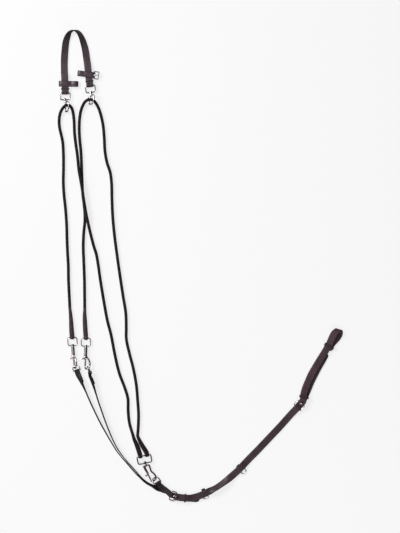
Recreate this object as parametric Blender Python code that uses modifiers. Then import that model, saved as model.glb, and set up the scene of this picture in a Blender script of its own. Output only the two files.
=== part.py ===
"""Gogue (schooling martingale for horses), laid out flat on a surface.

A poll strap with two browband loops, two round cords that run through the poll
snaps, three big bolt snaps, a pair of fork straps with dees, a yoke strap, and
the chest and girth strap with its buckles, dees, keepers and girth loop.

Metres, +Z up. The plan is drawn on a layout grid of 2.86 mm: u runs to +X and
v runs to -Y. Heights and small hardware sizes are in millimetres.
"""
import math

import bmesh
import bpy
import numpy as np
from mathutils import Matrix, Vector

# ---------------------------------------------------------------- dimensions
GRID = 0.00286            # one step of the layout grid
ORIGIN_U, ORIGIN_V = 200.83, 266.12   # plan centre of everything but the cords
MM = 0.001

STRAP_W, STRAP_T = 20.0, 3.0      # poll, yoke, chest and girth leather
FORK_W, FORK_T = 15.0, 2.6        # fork straps
CORD_D = 8.6                      # round cord
GAP = 0.3                         # clearance between touching pieces
EYE_WIRE = 1.75                   # radius of the snap eyes and dees
FOLD_R = EYE_WIRE + GAP + STRAP_T / 2
BUCKLE_LEN, BUCKLE_HALF = 16.5, 12.7   # bar to bar, half width of the frame
HEEL_Z, FRONT_Z = 8.35, 4.9       # heights of a strap buckle's two bars
BAND_T, BAND_H = 2.0, 16.0        # browband loop leather
SPLICE_LEN, SPLICE_W = 78.0, 12.6

for leftover in list(bpy.data.objects):
    bpy.data.objects.remove(leftover, do_unlink=True)
SCENE = bpy.context.scene
GOGUE = bpy.data.collections.new("gogue")
TOOLS = bpy.data.collections.new("cutters")
SCENE.collection.children.link(GOGUE)
SCENE.collection.children.link(TOOLS)


UP = Vector((0, 0, 1))


# ----------------------------------------------------------------- materials
def material(name, colour, roughness, metallic=0.0):
    made = bpy.data.materials.new(name)
    made.use_nodes = True
    shader = made.node_tree.nodes["Principled BSDF"]
    shader.inputs["Base Color"].default_value = (*colour, 1.0)
    shader.inputs["Roughness"].default_value = roughness
    shader.inputs["Metallic"].default_value = metallic
    made.diffuse_color = (*colour, 1.0)
    return made


LEATHER = material("leather", (0.075, 0.052, 0.060), 0.45)
CORD = material("cord", (0.032, 0.021, 0.025), 0.75)
NICKEL = material("nickel", (0.78, 0.77, 0.76), 0.18, 1.0)
STEEL = material("spring_steel", (0.45, 0.45, 0.46), 0.35, 1.0)


# ------------------------------------------------------------------- helpers
def at(u, v, height=0.0):
    """A layout point and a height in millimetres, as a point in metres."""
    return Vector(((u - ORIGIN_U) * GRID, (ORIGIN_V - v) * GRID, height * MM))


def grid_of(point):
    return (ORIGIN_U + point.x / GRID, ORIGIN_V - point.y / GRID, point.z / MM)


def plan(du, dv):
    """A unit direction in the plan."""
    return Vector((du, -dv, 0.0)).normalized()


def keep(name, data_or_object, surface, matrix=None, collection=GOGUE):
    """Names, places and links one piece."""
    piece = data_or_object
    if not isinstance(piece, bpy.types.Object):
        piece = bpy.data.objects.new(name, data_or_object)
    if not piece.users_collection:
        collection.objects.link(piece)
    piece.name = name
    if matrix is not None:
        piece.matrix_world = matrix
    if surface is not None:
        piece.data.materials.clear()
        piece.data.materials.append(surface)
    return piece


def axes(origin, x, y, z):
    """A placement from its origin and three axis directions."""
    return Matrix(((x.x, y.x, z.x, origin.x), (x.y, y.y, z.y, origin.y),
                   (x.z, y.z, z.z, origin.z), (0, 0, 0, 1)))


def smooth_path(rows, step):
    """Even samples of the centripetal Catmull-Rom curve through the rows.
    Each row starts with u, v and height; any further columns follow along."""
    rows = np.array(rows, float)
    space = rows[:, :3] * np.array([GRID / MM, GRID / MM, 1.0])
    ends = (2 * rows[0] - rows[1], 2 * rows[-1] - rows[-2])
    full = np.vstack([ends[0], rows, ends[1]])
    places = full[:, :3] * np.array([GRID / MM, GRID / MM, 1.0])
    knots = np.concatenate(
        [[0], np.cumsum(np.sqrt(np.linalg.norm(np.diff(places, axis=0), axis=1)))])
    dense = []
    for i in range(1, len(full) - 2):
        t0, t1, t2, t3 = knots[i - 1:i + 3]
        for t in np.linspace(t1, t2, 24, endpoint=False):
            a1 = (t1 - t) / (t1 - t0) * full[i - 1] + (t - t0) / (t1 - t0) * full[i]
            a2 = (t2 - t) / (t2 - t1) * full[i] + (t - t1) / (t2 - t1) * full[i + 1]
            a3 = (t3 - t) / (t3 - t2) * full[i + 1] + (t - t2) / (t3 - t2) * full[i + 2]
            b1 = (t2 - t) / (t2 - t0) * a1 + (t - t0) / (t2 - t0) * a2
            b2 = (t3 - t) / (t3 - t1) * a2 + (t - t1) / (t3 - t1) * a3
            dense.append((t2 - t) / (t2 - t1) * b1 + (t - t1) / (t2 - t1) * b2)
    dense.append(rows[-1])
    dense = np.array(dense)
    run = np.concatenate([[0], np.cumsum(np.linalg.norm(
        np.diff(dense[:, :3] * np.array([GRID / MM, GRID / MM, 1.0]), axis=0), axis=1))])
    count = max(2, int(round(run[-1] / step)) + 1)
    even = np.linspace(0, run[-1], count)
    return np.stack([np.interp(even, run, dense[:, k]) for k in range(dense.shape[1])], 1)


def stations(rows, thickness, width, turn=8.0, widest=16.0):
    """Points, travel, width and face directions along a strap's path.
    Row: u, v, height of the strap's middle, lean of its face in degrees
    (0 face up, 90 face to the right of travel, 180 face down). Few stations
    where it runs straight, and no part of it below the surface."""
    even = smooth_path(rows, 1.2)
    points = [at(u, v, h) for u, v, h in even[:, :3]]
    found, swing, run, last = [], 0.0, 0.0, None
    for i, point in enumerate(points):
        travel = (points[min(i + 1, len(points) - 1)] - points[max(i - 1, 0)]).normalized()
        side = Vector((-travel.y, travel.x, 0.0)).normalized()
        up = travel.cross(side).normalized()
        lean = math.radians(even[i, 3])
        across = math.cos(lean) * side + math.sin(lean) * up
        face = -math.sin(lean) * side + math.cos(lean) * up
        low = (width / 2 * abs(across.z) + thickness / 2 * abs(face.z) + 0.12) * MM
        place = Vector((point.x, point.y, max(point.z, low)))
        if last is not None:
            run += (place - last[0]).length / MM
            swing += math.degrees(travel.angle(last[1])) + 0.8 * math.degrees(
                across.angle(last[2]))
        last = (place, travel, across, face)
        if i in (0, len(points) - 1) or swing >= turn or run >= widest:
            if i == len(points) - 1 and len(found) > 1 and run < 2.5:
                found.pop()
            found.append(last)
            swing = run = 0.0
    return found


def ease(x):
    x = min(max(x, 0.0), 1.0)
    return x * x * (3 - 2 * x)


def folded(line, end, sign, back, thickness, bar, spread=9.0):
    """The stations of a strap's turned-back end round a bar: an arc, then the
    return layer on the face side (sign 1) or on the flesh side (sign -1).
    end is 0 for the path's start and -1 for its end. Returns stations in the
    order away from the path, and the bar's centre and directions."""
    radius = (bar + GAP + thickness / 2) * MM
    point, travel, width, face = line[end]
    outward = travel if end == -1 else -travel
    centre = point + sign * radius * face
    turned = []
    for k in range(1, 8):
        angle = math.pi * k / 8
        turned.append((centre + radius * (-sign * math.cos(angle) * face
                                          + math.sin(angle) * outward), width))
    order = line if end == 0 else line[::-1]
    run, last = 0.0, order[0]
    for here in order:
        length = (here[0] - last[0]).length / MM
        pieces = max(1, int(math.ceil(length / 3.0))) if run < spread else 1
        for k in range(1, pieces + 1) if length else (1,):
            part = k / pieces
            gone = run + length * part
            if gone > back:
                part -= (gone - back) / length
                gone = back
            rise = (thickness + GAP) + (2 * radius / MM - thickness - GAP) * (
                1 - ease(gone / spread))
            place = last[0].lerp(here[0], part)
            normal = last[3].lerp(here[3], part).normalized()
            turned.append((place + sign * rise * MM * normal,
                           last[2].lerp(here[2], part).normalized()))
            if gone >= back:
                break
        run += length
        last = here
        if run >= back:
            break
    return turned, (centre, outward, width, face)


def ribbon(name, rows, width, thickness, surface, bevel=0.0):
    """A strap from its mid-surface: a grid laid along the rows, each a centre,
    a width direction and a width factor, then given its thickness."""
    mesh = bpy.data.meshes.new(name)
    grid = bmesh.new()
    last = len(rows) - 1
    bmesh.ops.create_grid(grid, x_segments=1, y_segments=last, size=0.5)
    for corner in grid.verts:
        row = rows[int(round((corner.co.y + 0.5) * last))]
        side = 1.0 if corner.co.x > 0 else -1.0
        factor = row[2] if len(row) > 2 else 1.0
        corner.co = row[0] + side * factor * width / 2 * MM * row[1]
    grid.to_mesh(mesh)
    grid.free()
    piece = keep(name, mesh, surface)
    solid = piece.modifiers.new("thickness", "SOLIDIFY")
    solid.thickness = thickness * MM
    solid.offset = 0.0
    solid.use_even_offset = True
    if bevel:
        edge = piece.modifiers.new("edge", "BEVEL")
        edge.width = bevel * MM
        edge.segments = 1
        edge.limit_method = "ANGLE"
        edge.angle_limit = math.radians(60)
    return piece


def plain(line):
    return [(point, width) for point, _, width, _ in line]


def pointed(rows, length):
    """Narrows the last rows to a rounded point over the given length."""
    run, shaped = 0.0, []
    for i in range(len(rows) - 1, -1, -1):
        if i < len(rows) - 1:
            run += (rows[i + 1][0] - rows[i][0]).length / MM
        factor = 1.0 if run >= length else 0.34 + 0.66 * math.sqrt(
            max(0.0, 1 - (1 - run / length) ** 2))
        shaped.append((rows[i][0], rows[i][1], factor))
    return shaped[::-1]


def tube(name, points, radius, surface, matrix=None, cyclic=False, sides=2,
         collection=GOGUE):
    """A wire or cord: a poly curve with a round section and filled caps."""
    curve = bpy.data.curves.new(name, "CURVE")
    curve.dimensions = "3D"
    curve.bevel_depth = radius * MM
    curve.bevel_resolution = sides
    curve.use_fill_caps = not cyclic
    spline = curve.splines.new("POLY")
    spline.points.add(len(points) - 1)
    for slot, point in zip(spline.points, points):
        slot.co = (*point, 1.0)
    spline.use_cyclic_u = cyclic
    return keep(name, curve, surface, matrix, collection)


def outline(name, loops, half, surface, matrix, collection=GOGUE):
    """A flat outline with its holes, extruded half its depth each way."""
    curve = bpy.data.curves.new(name, "CURVE")
    curve.dimensions = "2D"
    curve.fill_mode = "BOTH"
    curve.extrude = half * MM
    for loop in loops:
        spline = curve.splines.new("POLY")
        spline.points.add(len(loop) - 1)
        for slot, (x, y) in zip(spline.points, loop):
            slot.co = (x * MM, y * MM, 0.0, 1.0)
        spline.use_cyclic_u = True
    return keep(name, curve, surface, matrix, collection)


def round_rect(x0, x1, y0, y1, low, high, steps=3):
    """A rectangle's outline with one corner radius at y0 and one at y1."""
    found = []
    for cx, cy, r, start in ((x1 - low, y0 + low, low, -90), (x1 - high, y1 - high, high, 0),
                             (x0 + high, y1 - high, high, 90), (x0 + low, y0 + low, low, 180)):
        for k in range(steps + 1):
            angle = math.radians(start + 90 * k / steps)
            found.append((cx + r * math.cos(angle), cy + r * math.sin(angle)))
    return found


def circle(x, y, radius, count=12):
    return [(x + radius * math.cos(2 * math.pi * k / count),
             y + radius * math.sin(2 * math.pi * k / count)) for k in range(count)]


def as_mesh(piece):
    """The piece as a plain mesh object, its caps welded."""
    graph = bpy.context.evaluated_depsgraph_get()
    mesh = bpy.data.meshes.new_from_object(piece.evaluated_get(graph))
    weld = bmesh.new()
    weld.from_mesh(mesh)
    bmesh.ops.remove_doubles(weld, verts=weld.verts, dist=1e-6)
    bmesh.ops.recalc_face_normals(weld, faces=weld.faces)
    weld.to_mesh(mesh)
    weld.free()
    name, place, groups = piece.name, piece.matrix_world.copy(), piece.users_collection[0]
    bpy.data.objects.remove(piece, do_unlink=True)
    made = bpy.data.objects.new(name, mesh)
    groups.objects.link(made)
    made.matrix_world = place
    return made


def cutter(piece):
    piece.hide_render = True
    piece.display_type = "WIRE"
    for group in list(piece.users_collection):
        group.objects.unlink(piece)
    TOOLS.objects.link(piece)
    return piece


def boolean(piece, other, operation):
    change = piece.modifiers.new(operation.lower(), "BOOLEAN")
    change.operation = operation
    change.solver = "EXACT"
    change.object = cutter(other)


def box(name, size, matrix):
    mesh = bpy.data.meshes.new(name)
    cube = bmesh.new()
    bmesh.ops.create_cube(cube, size=1.0)
    for corner in cube.verts:
        corner.co = Vector([c * s * MM for c, s in zip(corner.co, size)])
    cube.to_mesh(mesh)
    cube.free()
    return keep(name, mesh, None, matrix)


def rod(name, radius, low, high, matrix, count=12):
    """A cylinder along its local Z between two heights."""
    mesh = bpy.data.meshes.new(name)
    stick = bmesh.new()
    bmesh.ops.create_cone(stick, cap_ends=True, segments=count, radius1=radius * MM,
                          radius2=radius * MM, depth=(high - low) * MM)
    bmesh.ops.translate(stick, verts=stick.verts, vec=(0, 0, (low + high) / 2 * MM))
    stick.to_mesh(mesh)
    stick.free()
    return keep(name, mesh, None, matrix)


def turned(name, profile, surface, matrix, steps=14):
    """A profile of (radius, height) points turned round its local Z."""
    mesh = bpy.data.meshes.new(name)
    line = bmesh.new()
    corners = [line.verts.new((r * MM, 0, z * MM)) for r, z in profile]
    for a, b in zip(corners, corners[1:]):
        line.edges.new((a, b))
    line.to_mesh(mesh)
    line.free()
    piece = keep(name, mesh, surface, matrix)
    screw = piece.modifiers.new("turn", "SCREW")
    screw.steps = screw.render_steps = steps
    screw.use_merge_vertices = True
    screw.merge_threshold = 1e-5
    return piece


# ------------------------------------------------------------------ bolt snap
def bolt_snap(prefix, swivel, down, spine_side, eye_side, eye_dir, s):
    """One bolt snap. Local Z runs from the tip up to the eye, local X points to
    the spine. The eye turns on the hook's stem, and the thumb bolt slides in the
    barrel against its spring."""
    z_axis = -down
    x_axis = (spine_side - spine_side.dot(z_axis) * z_axis).normalized()
    frame = axes(swivel, x_axis, z_axis.cross(x_axis), z_axis)
    ez = eye_dir
    ex = (eye_side - eye_side.dot(ez) * ez).normalized()
    eye_frame = axes(swivel, ex, ez.cross(ex), ez)

    wide, tall = s["eye_half"], s["eye_tall"]
    ring = [(x * MM, 0, z * MM) for x, z in
            round_rect(-wide, wide, 0, tall, s["eye_low"], s["eye_high"], 3)]
    eye = as_mesh(tube(prefix + "_eye", ring, s["wire"], NICKEL, eye_frame, cyclic=True))
    boolean(eye, rod(prefix + "_boss", s["boss"], -2.3, s["boss_top"], frame, 14), "UNION")
    boolean(eye, rod(prefix + "_boss_hole", s["stem"] + 0.3, -6, 6, frame, 12), "DIFFERENCE")

    br, bl = s["barrel_r"], s["barrel_len"]
    barrel = frame @ Matrix.Translation((s["barrel_x"] * MM, 0, 0))
    cap = s["boss_top"] + GAP
    head = [(0, cap + 1.7), (s["boss"] - 1.2, cap + 1.2), (s["boss"] - 1.0, cap),
            (s["stem"], cap), (s["stem"], -2.3 - GAP - s["neck"])]
    tank = [(br - 0.8, -2.3 - GAP - s["neck"]), (br, -3.4 - GAP - s["neck"]), (br, -bl + 0.6),
            (br - 0.6, -bl), (0, -bl)]
    if s["barrel_x"]:
        low = -2.3 - GAP - s["neck"]
        body = turned(prefix + "_hook", head + [
            (s["boss"] - 1.2, low), (s["boss"] - 0.8, low - 1.0), (s["boss"] - 0.8, low - 3.4),
            (0, low - 3.4)], NICKEL, frame)
        boolean(body, turned(prefix + "_barrel", [(0, tank[0][1])] + tank, None, barrel), "UNION")
    else:
        body = turned(prefix + "_hook", head + tank, NICKEL, frame)
    spine = as_mesh(tube(prefix + "_spine", [
        (x * MM, 0, z * MM) for x, z in s["spine"]], s["spine_r"], None, frame))
    boolean(body, spine, "UNION")
    boolean(body, rod(prefix + "_bore", s["bolt_r"] + 0.35, -bl - 2, -s["bore_top"], barrel, 12),
            "DIFFERENCE")
    face = Matrix.Rotation(math.radians(s["knob_turn"]), 4, "Z")
    slot = barrel @ face @ Matrix.Translation(
        (-br * MM, 0, (-bl - 2 + s["travel"] / 2 + 1.5) * MM))
    boolean(body, box(prefix + "_slot", (2 * br, 2 * s["knob_r"] + 0.9, s["travel"] + 5.4), slot),
            "DIFFERENCE")

    top = s["bore_top"] + s["spring_len"] + 0.3
    bolt = rod(prefix + "_bolt", s["bolt_r"], -s["bolt_tip"], -top, barrel, 12)
    bolt.data.materials.append(NICKEL)
    level = -bl - s["knob_r"] - 0.6
    knob = barrel @ Matrix.Translation((0, 0, level * MM)) @ face @ Matrix.Rotation(
        math.radians(-90), 4, "Y")
    stem = turned(prefix + "_knob", [
        (0, s["knob_out"]), (s["knob_head"], s["knob_out"] - 0.5),
        (s["knob_head"], s["knob_out"] - 2.2), (s["knob_r"], s["knob_out"] - 2.8),
        (s["knob_r"], 0.4), (0, 0.4)], None, knob, 10)
    boolean(bolt, stem, "UNION")

    # The spring is drawn at its shortest, so that the bolt clears it all the way.
    turns, coil = s["turns"], []
    count = int(turns * 6)
    for k in range(count + 1):
        angle = 2 * math.pi * k / 6
        coil.append(((s["bolt_r"] - 0.45) * MM * math.cos(angle),
                     (s["bolt_r"] - 0.45) * MM * math.sin(angle),
                     (-s["bore_top"] - 0.75 - turns * k / count) * MM))
    tube(prefix + "_spring", coil, 0.4, STEEL, barrel, sides=0)
    return frame


BIG = dict(eye_half=13.2, eye_tall=23.4, eye_low=5.6, eye_high=6.8, wire=1.6, boss=4.4, boss_top=2.4,
           stem=2.0, neck=0.0, barrel_x=0, barrel_r=4.7, barrel_len=34.0, bore_top=7.0,
           bolt_r=2.3, bolt_tip=57.3, spring_len=14.0, turns=4, travel=9.0, knob_r=1.6,
           knob_out=10.2, knob_head=2.8, knob_turn=32, spine_r=2.5,
           spine=[(1.5, -28), (5.5, -33.5), (9.8, -39), (12.6, -46), (13.0, -54),
                  (11.0, -60.5), (6.4, -64.4), (1.8, -63.8), (0.0, -60.3)])
CHEST = dict(eye_half=20.0, eye_tall=21.4, eye_low=5.0, eye_high=4.0, wire=1.9, boss=4.4, boss_top=3.4,
             stem=2.0, neck=2.2, barrel_x=-8.0, barrel_r=3.4, barrel_len=31.0, bore_top=9.0,
             bolt_r=2.0, bolt_tip=49.3, spring_len=11.0, turns=2, travel=7.5, knob_r=1.5,
             knob_out=8.6, knob_head=2.6, knob_turn=20, spine_r=2.5,
             spine=[(-8.0, -9.6), (-4.6, -8.1), (0.0, -7.7), (5.0, -8.2), (7.6, -11.4),
                    (6.4, -18), (5.2, -26), (5.8, -31.5), (8.6, -37), (10.2, -43.0),
                    (9.6, -49.0), (5.8, -53.8), (0.0, -55.4), (-5.2, -54.6), (-8.0, -52.3)])
POLL = dict(eye_half=13.6, eye_tall=19.6, eye_low=3.6, eye_high=3.4, wire=1.75, boss=4.0, boss_top=2.4,
            stem=1.8, neck=0.0, barrel_x=0, barrel_r=3.4, barrel_len=14.4, bore_top=4.4,
            bolt_r=1.8, bolt_tip=29.6, spring_len=5.6, turns=1.5, travel=3.2, knob_r=1.3,
            knob_out=7.2, knob_head=2.1, knob_turn=32, spine_r=2.1,
            spine=[(0.6, -5.6), (6.6, -6.0), (12.4, -8.0), (15.0, -13.6), (15.2, -21),
                   (13.4, -27.8), (8.8, -33.0), (3.4, -34.4), (0.2, -32.6)])

# ----------------------------------------------------------------- poll strap
# Travel: up the right leg, over the top, down the left leg. The strap lies flat
# at its ends and stands on its edge at the top, with half a turn in all.
poll_rows = [
    (90.0, 85.4, 10.15, 0), (89.4, 81.0, 7.5, 0), (88.6, 74.5, 7.4, 0), (87.8, 66.0, 7.3, 2),
    (86.9, 60.0, 4.6, 6), (85.4, 50.0, 5.4, 14), (83.4, 42.4, 8.0, 30), (81.2, 36.8, 9.6, 46),
    (78.2, 32.3, 10.2, 62), (74.4, 30.7, 10.2, 84), (70.6, 32.1, 10.2, 108),
    (68.0, 36.2, 9.2, 136), (66.2, 41.6, 6.6, 156), (65.2, 49.0, 4.4, 168), (64.4, 60.0, 2.6, 177),
    (64.4, 70.0, 2.4, 180),
    (64.8, 78.0, 4.0, 180), (65.1, 84.0, 4.1, 180), (65.3, 88.5, 3.6, 180), (65.3, 92.9, 3.05, 180)]
poll_line = stations(poll_rows, STRAP_T, STRAP_W)
right_back, right_bar = folded(poll_line, 0, -1, 58.0, STRAP_T, EYE_WIRE)
left_back, left_bar = folded(poll_line, -1, -1, 54.0, STRAP_T, EYE_WIRE)
ribbon("poll_strap", right_back[::-1] + plain(poll_line) + left_back, STRAP_W, STRAP_T, LEATHER)


def keeper(name, centre, width, wide, low, high, depth, thick):
    """A leather band round the straps that pass through it. low and high are
    the inside heights above the surface, in millimetres."""
    outer = round_rect(-wide / 2 - thick, wide / 2 + thick, low - thick, high + thick, 1.6, 1.6, 2)
    inner = round_rect(-wide / 2, wide / 2, low, high, 0.5, 0.5, 1)
    return outline(name, [outer, inner], depth / 2, LEATHER,
                   axes(centre, width, UP, width.cross(UP)))


def flat(direction):
    return Vector((direction.x, direction.y, 0)).normalized()


def near(line, u, v):
    """The station of a path nearest to a layout point."""
    goal = at(u, v)
    return min(line, key=lambda s: (s[0].x - goal.x) ** 2 + (s[0].y - goal.y) ** 2)


# Small fixed keepers round the doubled poll strap ends.
spot = near(poll_line, 65.2, 88.9)
keeper("poll_keeper_left", at(65.2, 88.9), flat(spot[2]), 21.8, 1.4, 8.6, 3.6, 1.2)
spot = near(poll_line, 89.5, 81.3)
keeper("poll_keeper_right", at(89.5, 81.3), flat(spot[2]), 21.0, 2.0, 9.8, 3.6, 1.2)


def band_loop(name, u, v, across, profile, holes):
    """A browband loop: its section stands across the poll strap and is extruded
    along the strap by the band's height."""
    along = UP.cross(across)
    return outline(name, [profile] + holes, BAND_H / 2, LEATHER,
                   axes(at(u, v), across, UP, across.cross(UP)))


def offset_loop(centre_line, half):
    """Outer and inner outlines at a distance each side of a closed line."""
    count = len(centre_line)
    outer, inner = [], []
    for i, (x, y) in enumerate(centre_line):
        ax, ay = centre_line[i - 1]
        bx, by = centre_line[(i + 1) % count]
        dx, dy = bx - ax, by - ay
        size = math.hypot(dx, dy)
        nx, ny = dy / size, -dx / size
        outer.append((x + nx * half, y + ny * half))
        inner.append((x - nx * half, y - ny * half))
    return outer, inner


def closed_line(points, per=4):
    """A smooth closed line through the points."""
    found = []
    count = len(points)
    for i in range(count):
        p0, p1, p2, p3 = (np.array(points[(i + k - 1) % count], float) for k in range(4))
        for k in range(per):
            t = k / per
            found.append(tuple(0.5 * (2 * p1 + (p2 - p0) * t + (2 * p0 - 5 * p1 + 4 * p2 - p3)
                                      * t * t + (3 * p1 - p0 - 3 * p2 + p3) * t ** 3)))
    return found


# Left loop: snug round the doubled leg, then open to the right for the browband.
left_loop = closed_line([
    (-14.0, 1.15), (0, 1.15), (14, 1.15), (28, 1.3), (35.0, 3.0), (37.6, 7.4), (35.0, 11.6),
    (30.0, 13.4), (24.0, 12.6), (18.6, 10.6), (13.0, 10.9), (6.0, 12.2), (-4.0, 12.2),
    (-12.0, 11.2), (-15.4, 8.6), (-16.6, 5.6), (-16.2, 2.6)])
outer, inner = offset_loop(left_loop, BAND_T / 2)
band_loop("browband_loop_left", 65.0, 83.9, plan(1, 0.02), outer, [inner])
# Right loop: open to the left, with its buckle at the right end.
right_loop = closed_line([
    (-28.0, 1.3), (-14.0, 1.2), (0, 1.2), (11.8, 1.2), (16.2, 3.4), (17.6, 7.2), (15.6, 11.0),
    (10.6, 12.2), (2.0, 12.4), (-8.0, 12.2), (-14.0, 11.6), (-20.0, 12.6), (-26.0, 12.6),
    (-29.8, 10.4), (-31.2, 7.0), (-30.6, 3.4)])
outer, inner = offset_loop(right_loop, BAND_T / 2)
band_dir = plan(1, 0.12)
right_band = as_mesh(band_loop("browband_loop_right", 88.8, 74.6, band_dir, outer, [inner]))
band_at = at(88.8, 74.6)
band_bar = band_at + band_dir * 14.2 * MM + UP * 7.2 * MM
band_along = band_dir.cross(UP)
frame_in = axes(band_bar, -band_along, -band_dir, UP)
browband_frame = tube(
    "browband_buckle_frame",
    [(x * MM, y * MM, 0) for x, y in round_rect(-10.2, 10.2, -14.4, 0, 2.6, 2.0, 2)],
    1.2, NICKEL, frame_in, cyclic=True)


def tongue(name, bar, forward, up, wrap, points, radius, collection=GOGUE):
    """A buckle tongue: a wire wrapped round its bar, then run out to its tip.
    Points are (forward, up) offsets from the bar."""
    start = math.atan2(points[0][1], points[0][0])
    path = []
    for k in range(9):
        angle = start + math.radians(292) * (8 - k) / 8
        path.append((wrap * math.cos(angle), wrap * math.sin(angle)))
    path[-1] = (wrap * math.cos(start), wrap * math.sin(start))
    path += points[1:]
    side = forward.cross(up)
    return tube(name, [(x * MM, 0, y * MM) for x, y in path], radius, NICKEL,
                axes(bar, forward, -side, up))


tongue("browband_buckle_tongue", band_bar, band_dir, UP, 2.5,
       [(1.2, 2.2), (5.0, 3.3), (10.0, 2.9), (15.6, 2.45)], 0.95)
boolean(right_band, box("browband_slot", (12, 4.6, 14), axes(
    band_bar + band_dir * 3.6 * MM, band_dir, -band_along, UP)), "DIFFERENCE")


def leaning(bar_u, bar_v, bar_h, du, dv, lean, sign, thickness, bar):
    """The first row of a path whose turned-back end goes round the given bar."""
    travel = plan(du, dv)
    side = Vector((-travel.y, travel.x, 0))
    angle = math.radians(lean)
    face = -math.sin(angle) * side + math.cos(angle) * UP
    point = at(bar_u, bar_v, bar_h) - sign * (bar + GAP + thickness / 2) * MM * face
    return (ORIGIN_U + point.x / GRID, ORIGIN_V - point.y / GRID, point.z / MM, lean)


def turn_about(axis, angle, direction):
    return Matrix.Rotation(math.radians(angle), 3, axis) @ direction


# ---------------------------------------------------------------- poll snaps
def hang_snap(prefix, bar, bar_dir, eye_down, down, roll, s, rise=0.0):
    """Hangs a snap's eye on a bar: eye_down is the eye's direction away from the
    bar, down the hook's own, both in the plan; roll lifts the spine side."""
    eye_dir = -eye_down
    swivel = bar - eye_dir * s["eye_tall"] * MM
    along = (down + UP * rise).normalized()
    flat_side = UP.cross(along).normalized()
    spine = turn_about(along, -roll, flat_side)
    if spine.z < 0:
        spine = turn_about(along, roll, flat_side)
    return bolt_snap(prefix, swivel, along, spine, bar_dir, eye_dir, s)


left_frame = hang_snap("poll_snap_left", left_bar[0], left_bar[2], flat(left_bar[1]),
                       plan(0.04, 1), 50, POLL, 0.02)
right_frame = hang_snap("poll_snap_right", right_bar[0], right_bar[2], flat(right_bar[1]),
                        plan(-0.14, 1), 42, POLL, 0.02)

# ------------------------------------------------- cords and their splices
EYE_L, EYE_R = at(72.3, 337.3, 5.7), at(86.0, 338.0, 5.7)    # fork snap eye bars
CHEST_BAR = at(143.7, 455.7, 5.7)
CHEST_ALONG = plan(0.977, -0.215)


def route(rows, turn=9.0, widest=30.0):
    """A cord's path with few points where it runs straight."""
    dense = [at(*row[:3]) for row in smooth_path(rows, 1.5)]
    kept, swing, run = [dense[0]], 0.0, 0.0
    for a, b, c in zip(dense, dense[1:], dense[2:]):
        swing += math.degrees((b - a).angle(c - b))
        run += (b - a).length / MM
        if swing >= turn or run >= widest:
            kept.append(b)
            swing = run = 0.0
    if (kept[-1] - dense[-1]).length < 6 * MM:
        kept.pop()
    return kept + [dense[-1]]


FLOOR_Z = CORD_D / 2 + 0.15
cord_left_rows = [
    (69.9, 307, FLOOR_Z), (69.5, 299, FLOOR_Z), (68.6, 280, FLOOR_Z), (68.4, 266, FLOOR_Z),
    (67.7, 254, FLOOR_Z), (67.1, 240, FLOOR_Z), (66.7, 225, FLOOR_Z), (65.5, 208, FLOOR_Z),
    (64.2, 196, FLOOR_Z), (63.4, 183, FLOOR_Z), (63.6, 168, FLOOR_Z), (63.5, 154, FLOOR_Z),
    (62.8, 142.5, FLOOR_Z), (61.3, 135, FLOOR_Z), (59.8, 128.5, FLOOR_Z),
    (59.2, 121.0, FLOOR_Z), (60.0, 114.6, 6.0), (61.8, 110.2, 10.2), (64.1, 107.2, 13.2),
    (66.6, 105.7, 12.9), (69.2, 105.6, 10.2), (71.3, 107.4, 7.2), (72.7, 110.8, 5.2),
    (73.5, 115.0, FLOOR_Z), (74.2, 122, FLOOR_Z), (74.6, 133, FLOOR_Z), (75.9, 144.5, FLOOR_Z),
    (77.3, 154, FLOOR_Z), (78.1, 161.5, 5.6), (79.0, 170, 9.4), (80.7, 179.5, 13.0),
    (82.2, 188, 14.0), (83.5, 197, 14.0), (85.0, 206.5, 13.7), (86.6, 215.5, 12.4),
    (88.0, 222, 9.6), (89.5, 229, 6.0), (91.4, 237, 4.6), (93.9, 246.5, FLOOR_Z),
    (96.3, 254, FLOOR_Z), (98.2, 264.5, FLOOR_Z), (100.1, 278, FLOOR_Z), (104.0, 302, FLOOR_Z),
    (107.6, 321.4, FLOOR_Z), (110.9, 334, FLOOR_Z), (115.2, 356, FLOOR_Z),
    (119.3, 373, FLOOR_Z), (125.0, 388.3, FLOOR_Z), (127.9, 398.5, FLOOR_Z),
    (128.2, 411, FLOOR_Z), (129.6, 423.5, FLOOR_Z), (132.6, 433.8, FLOOR_Z)]
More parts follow.
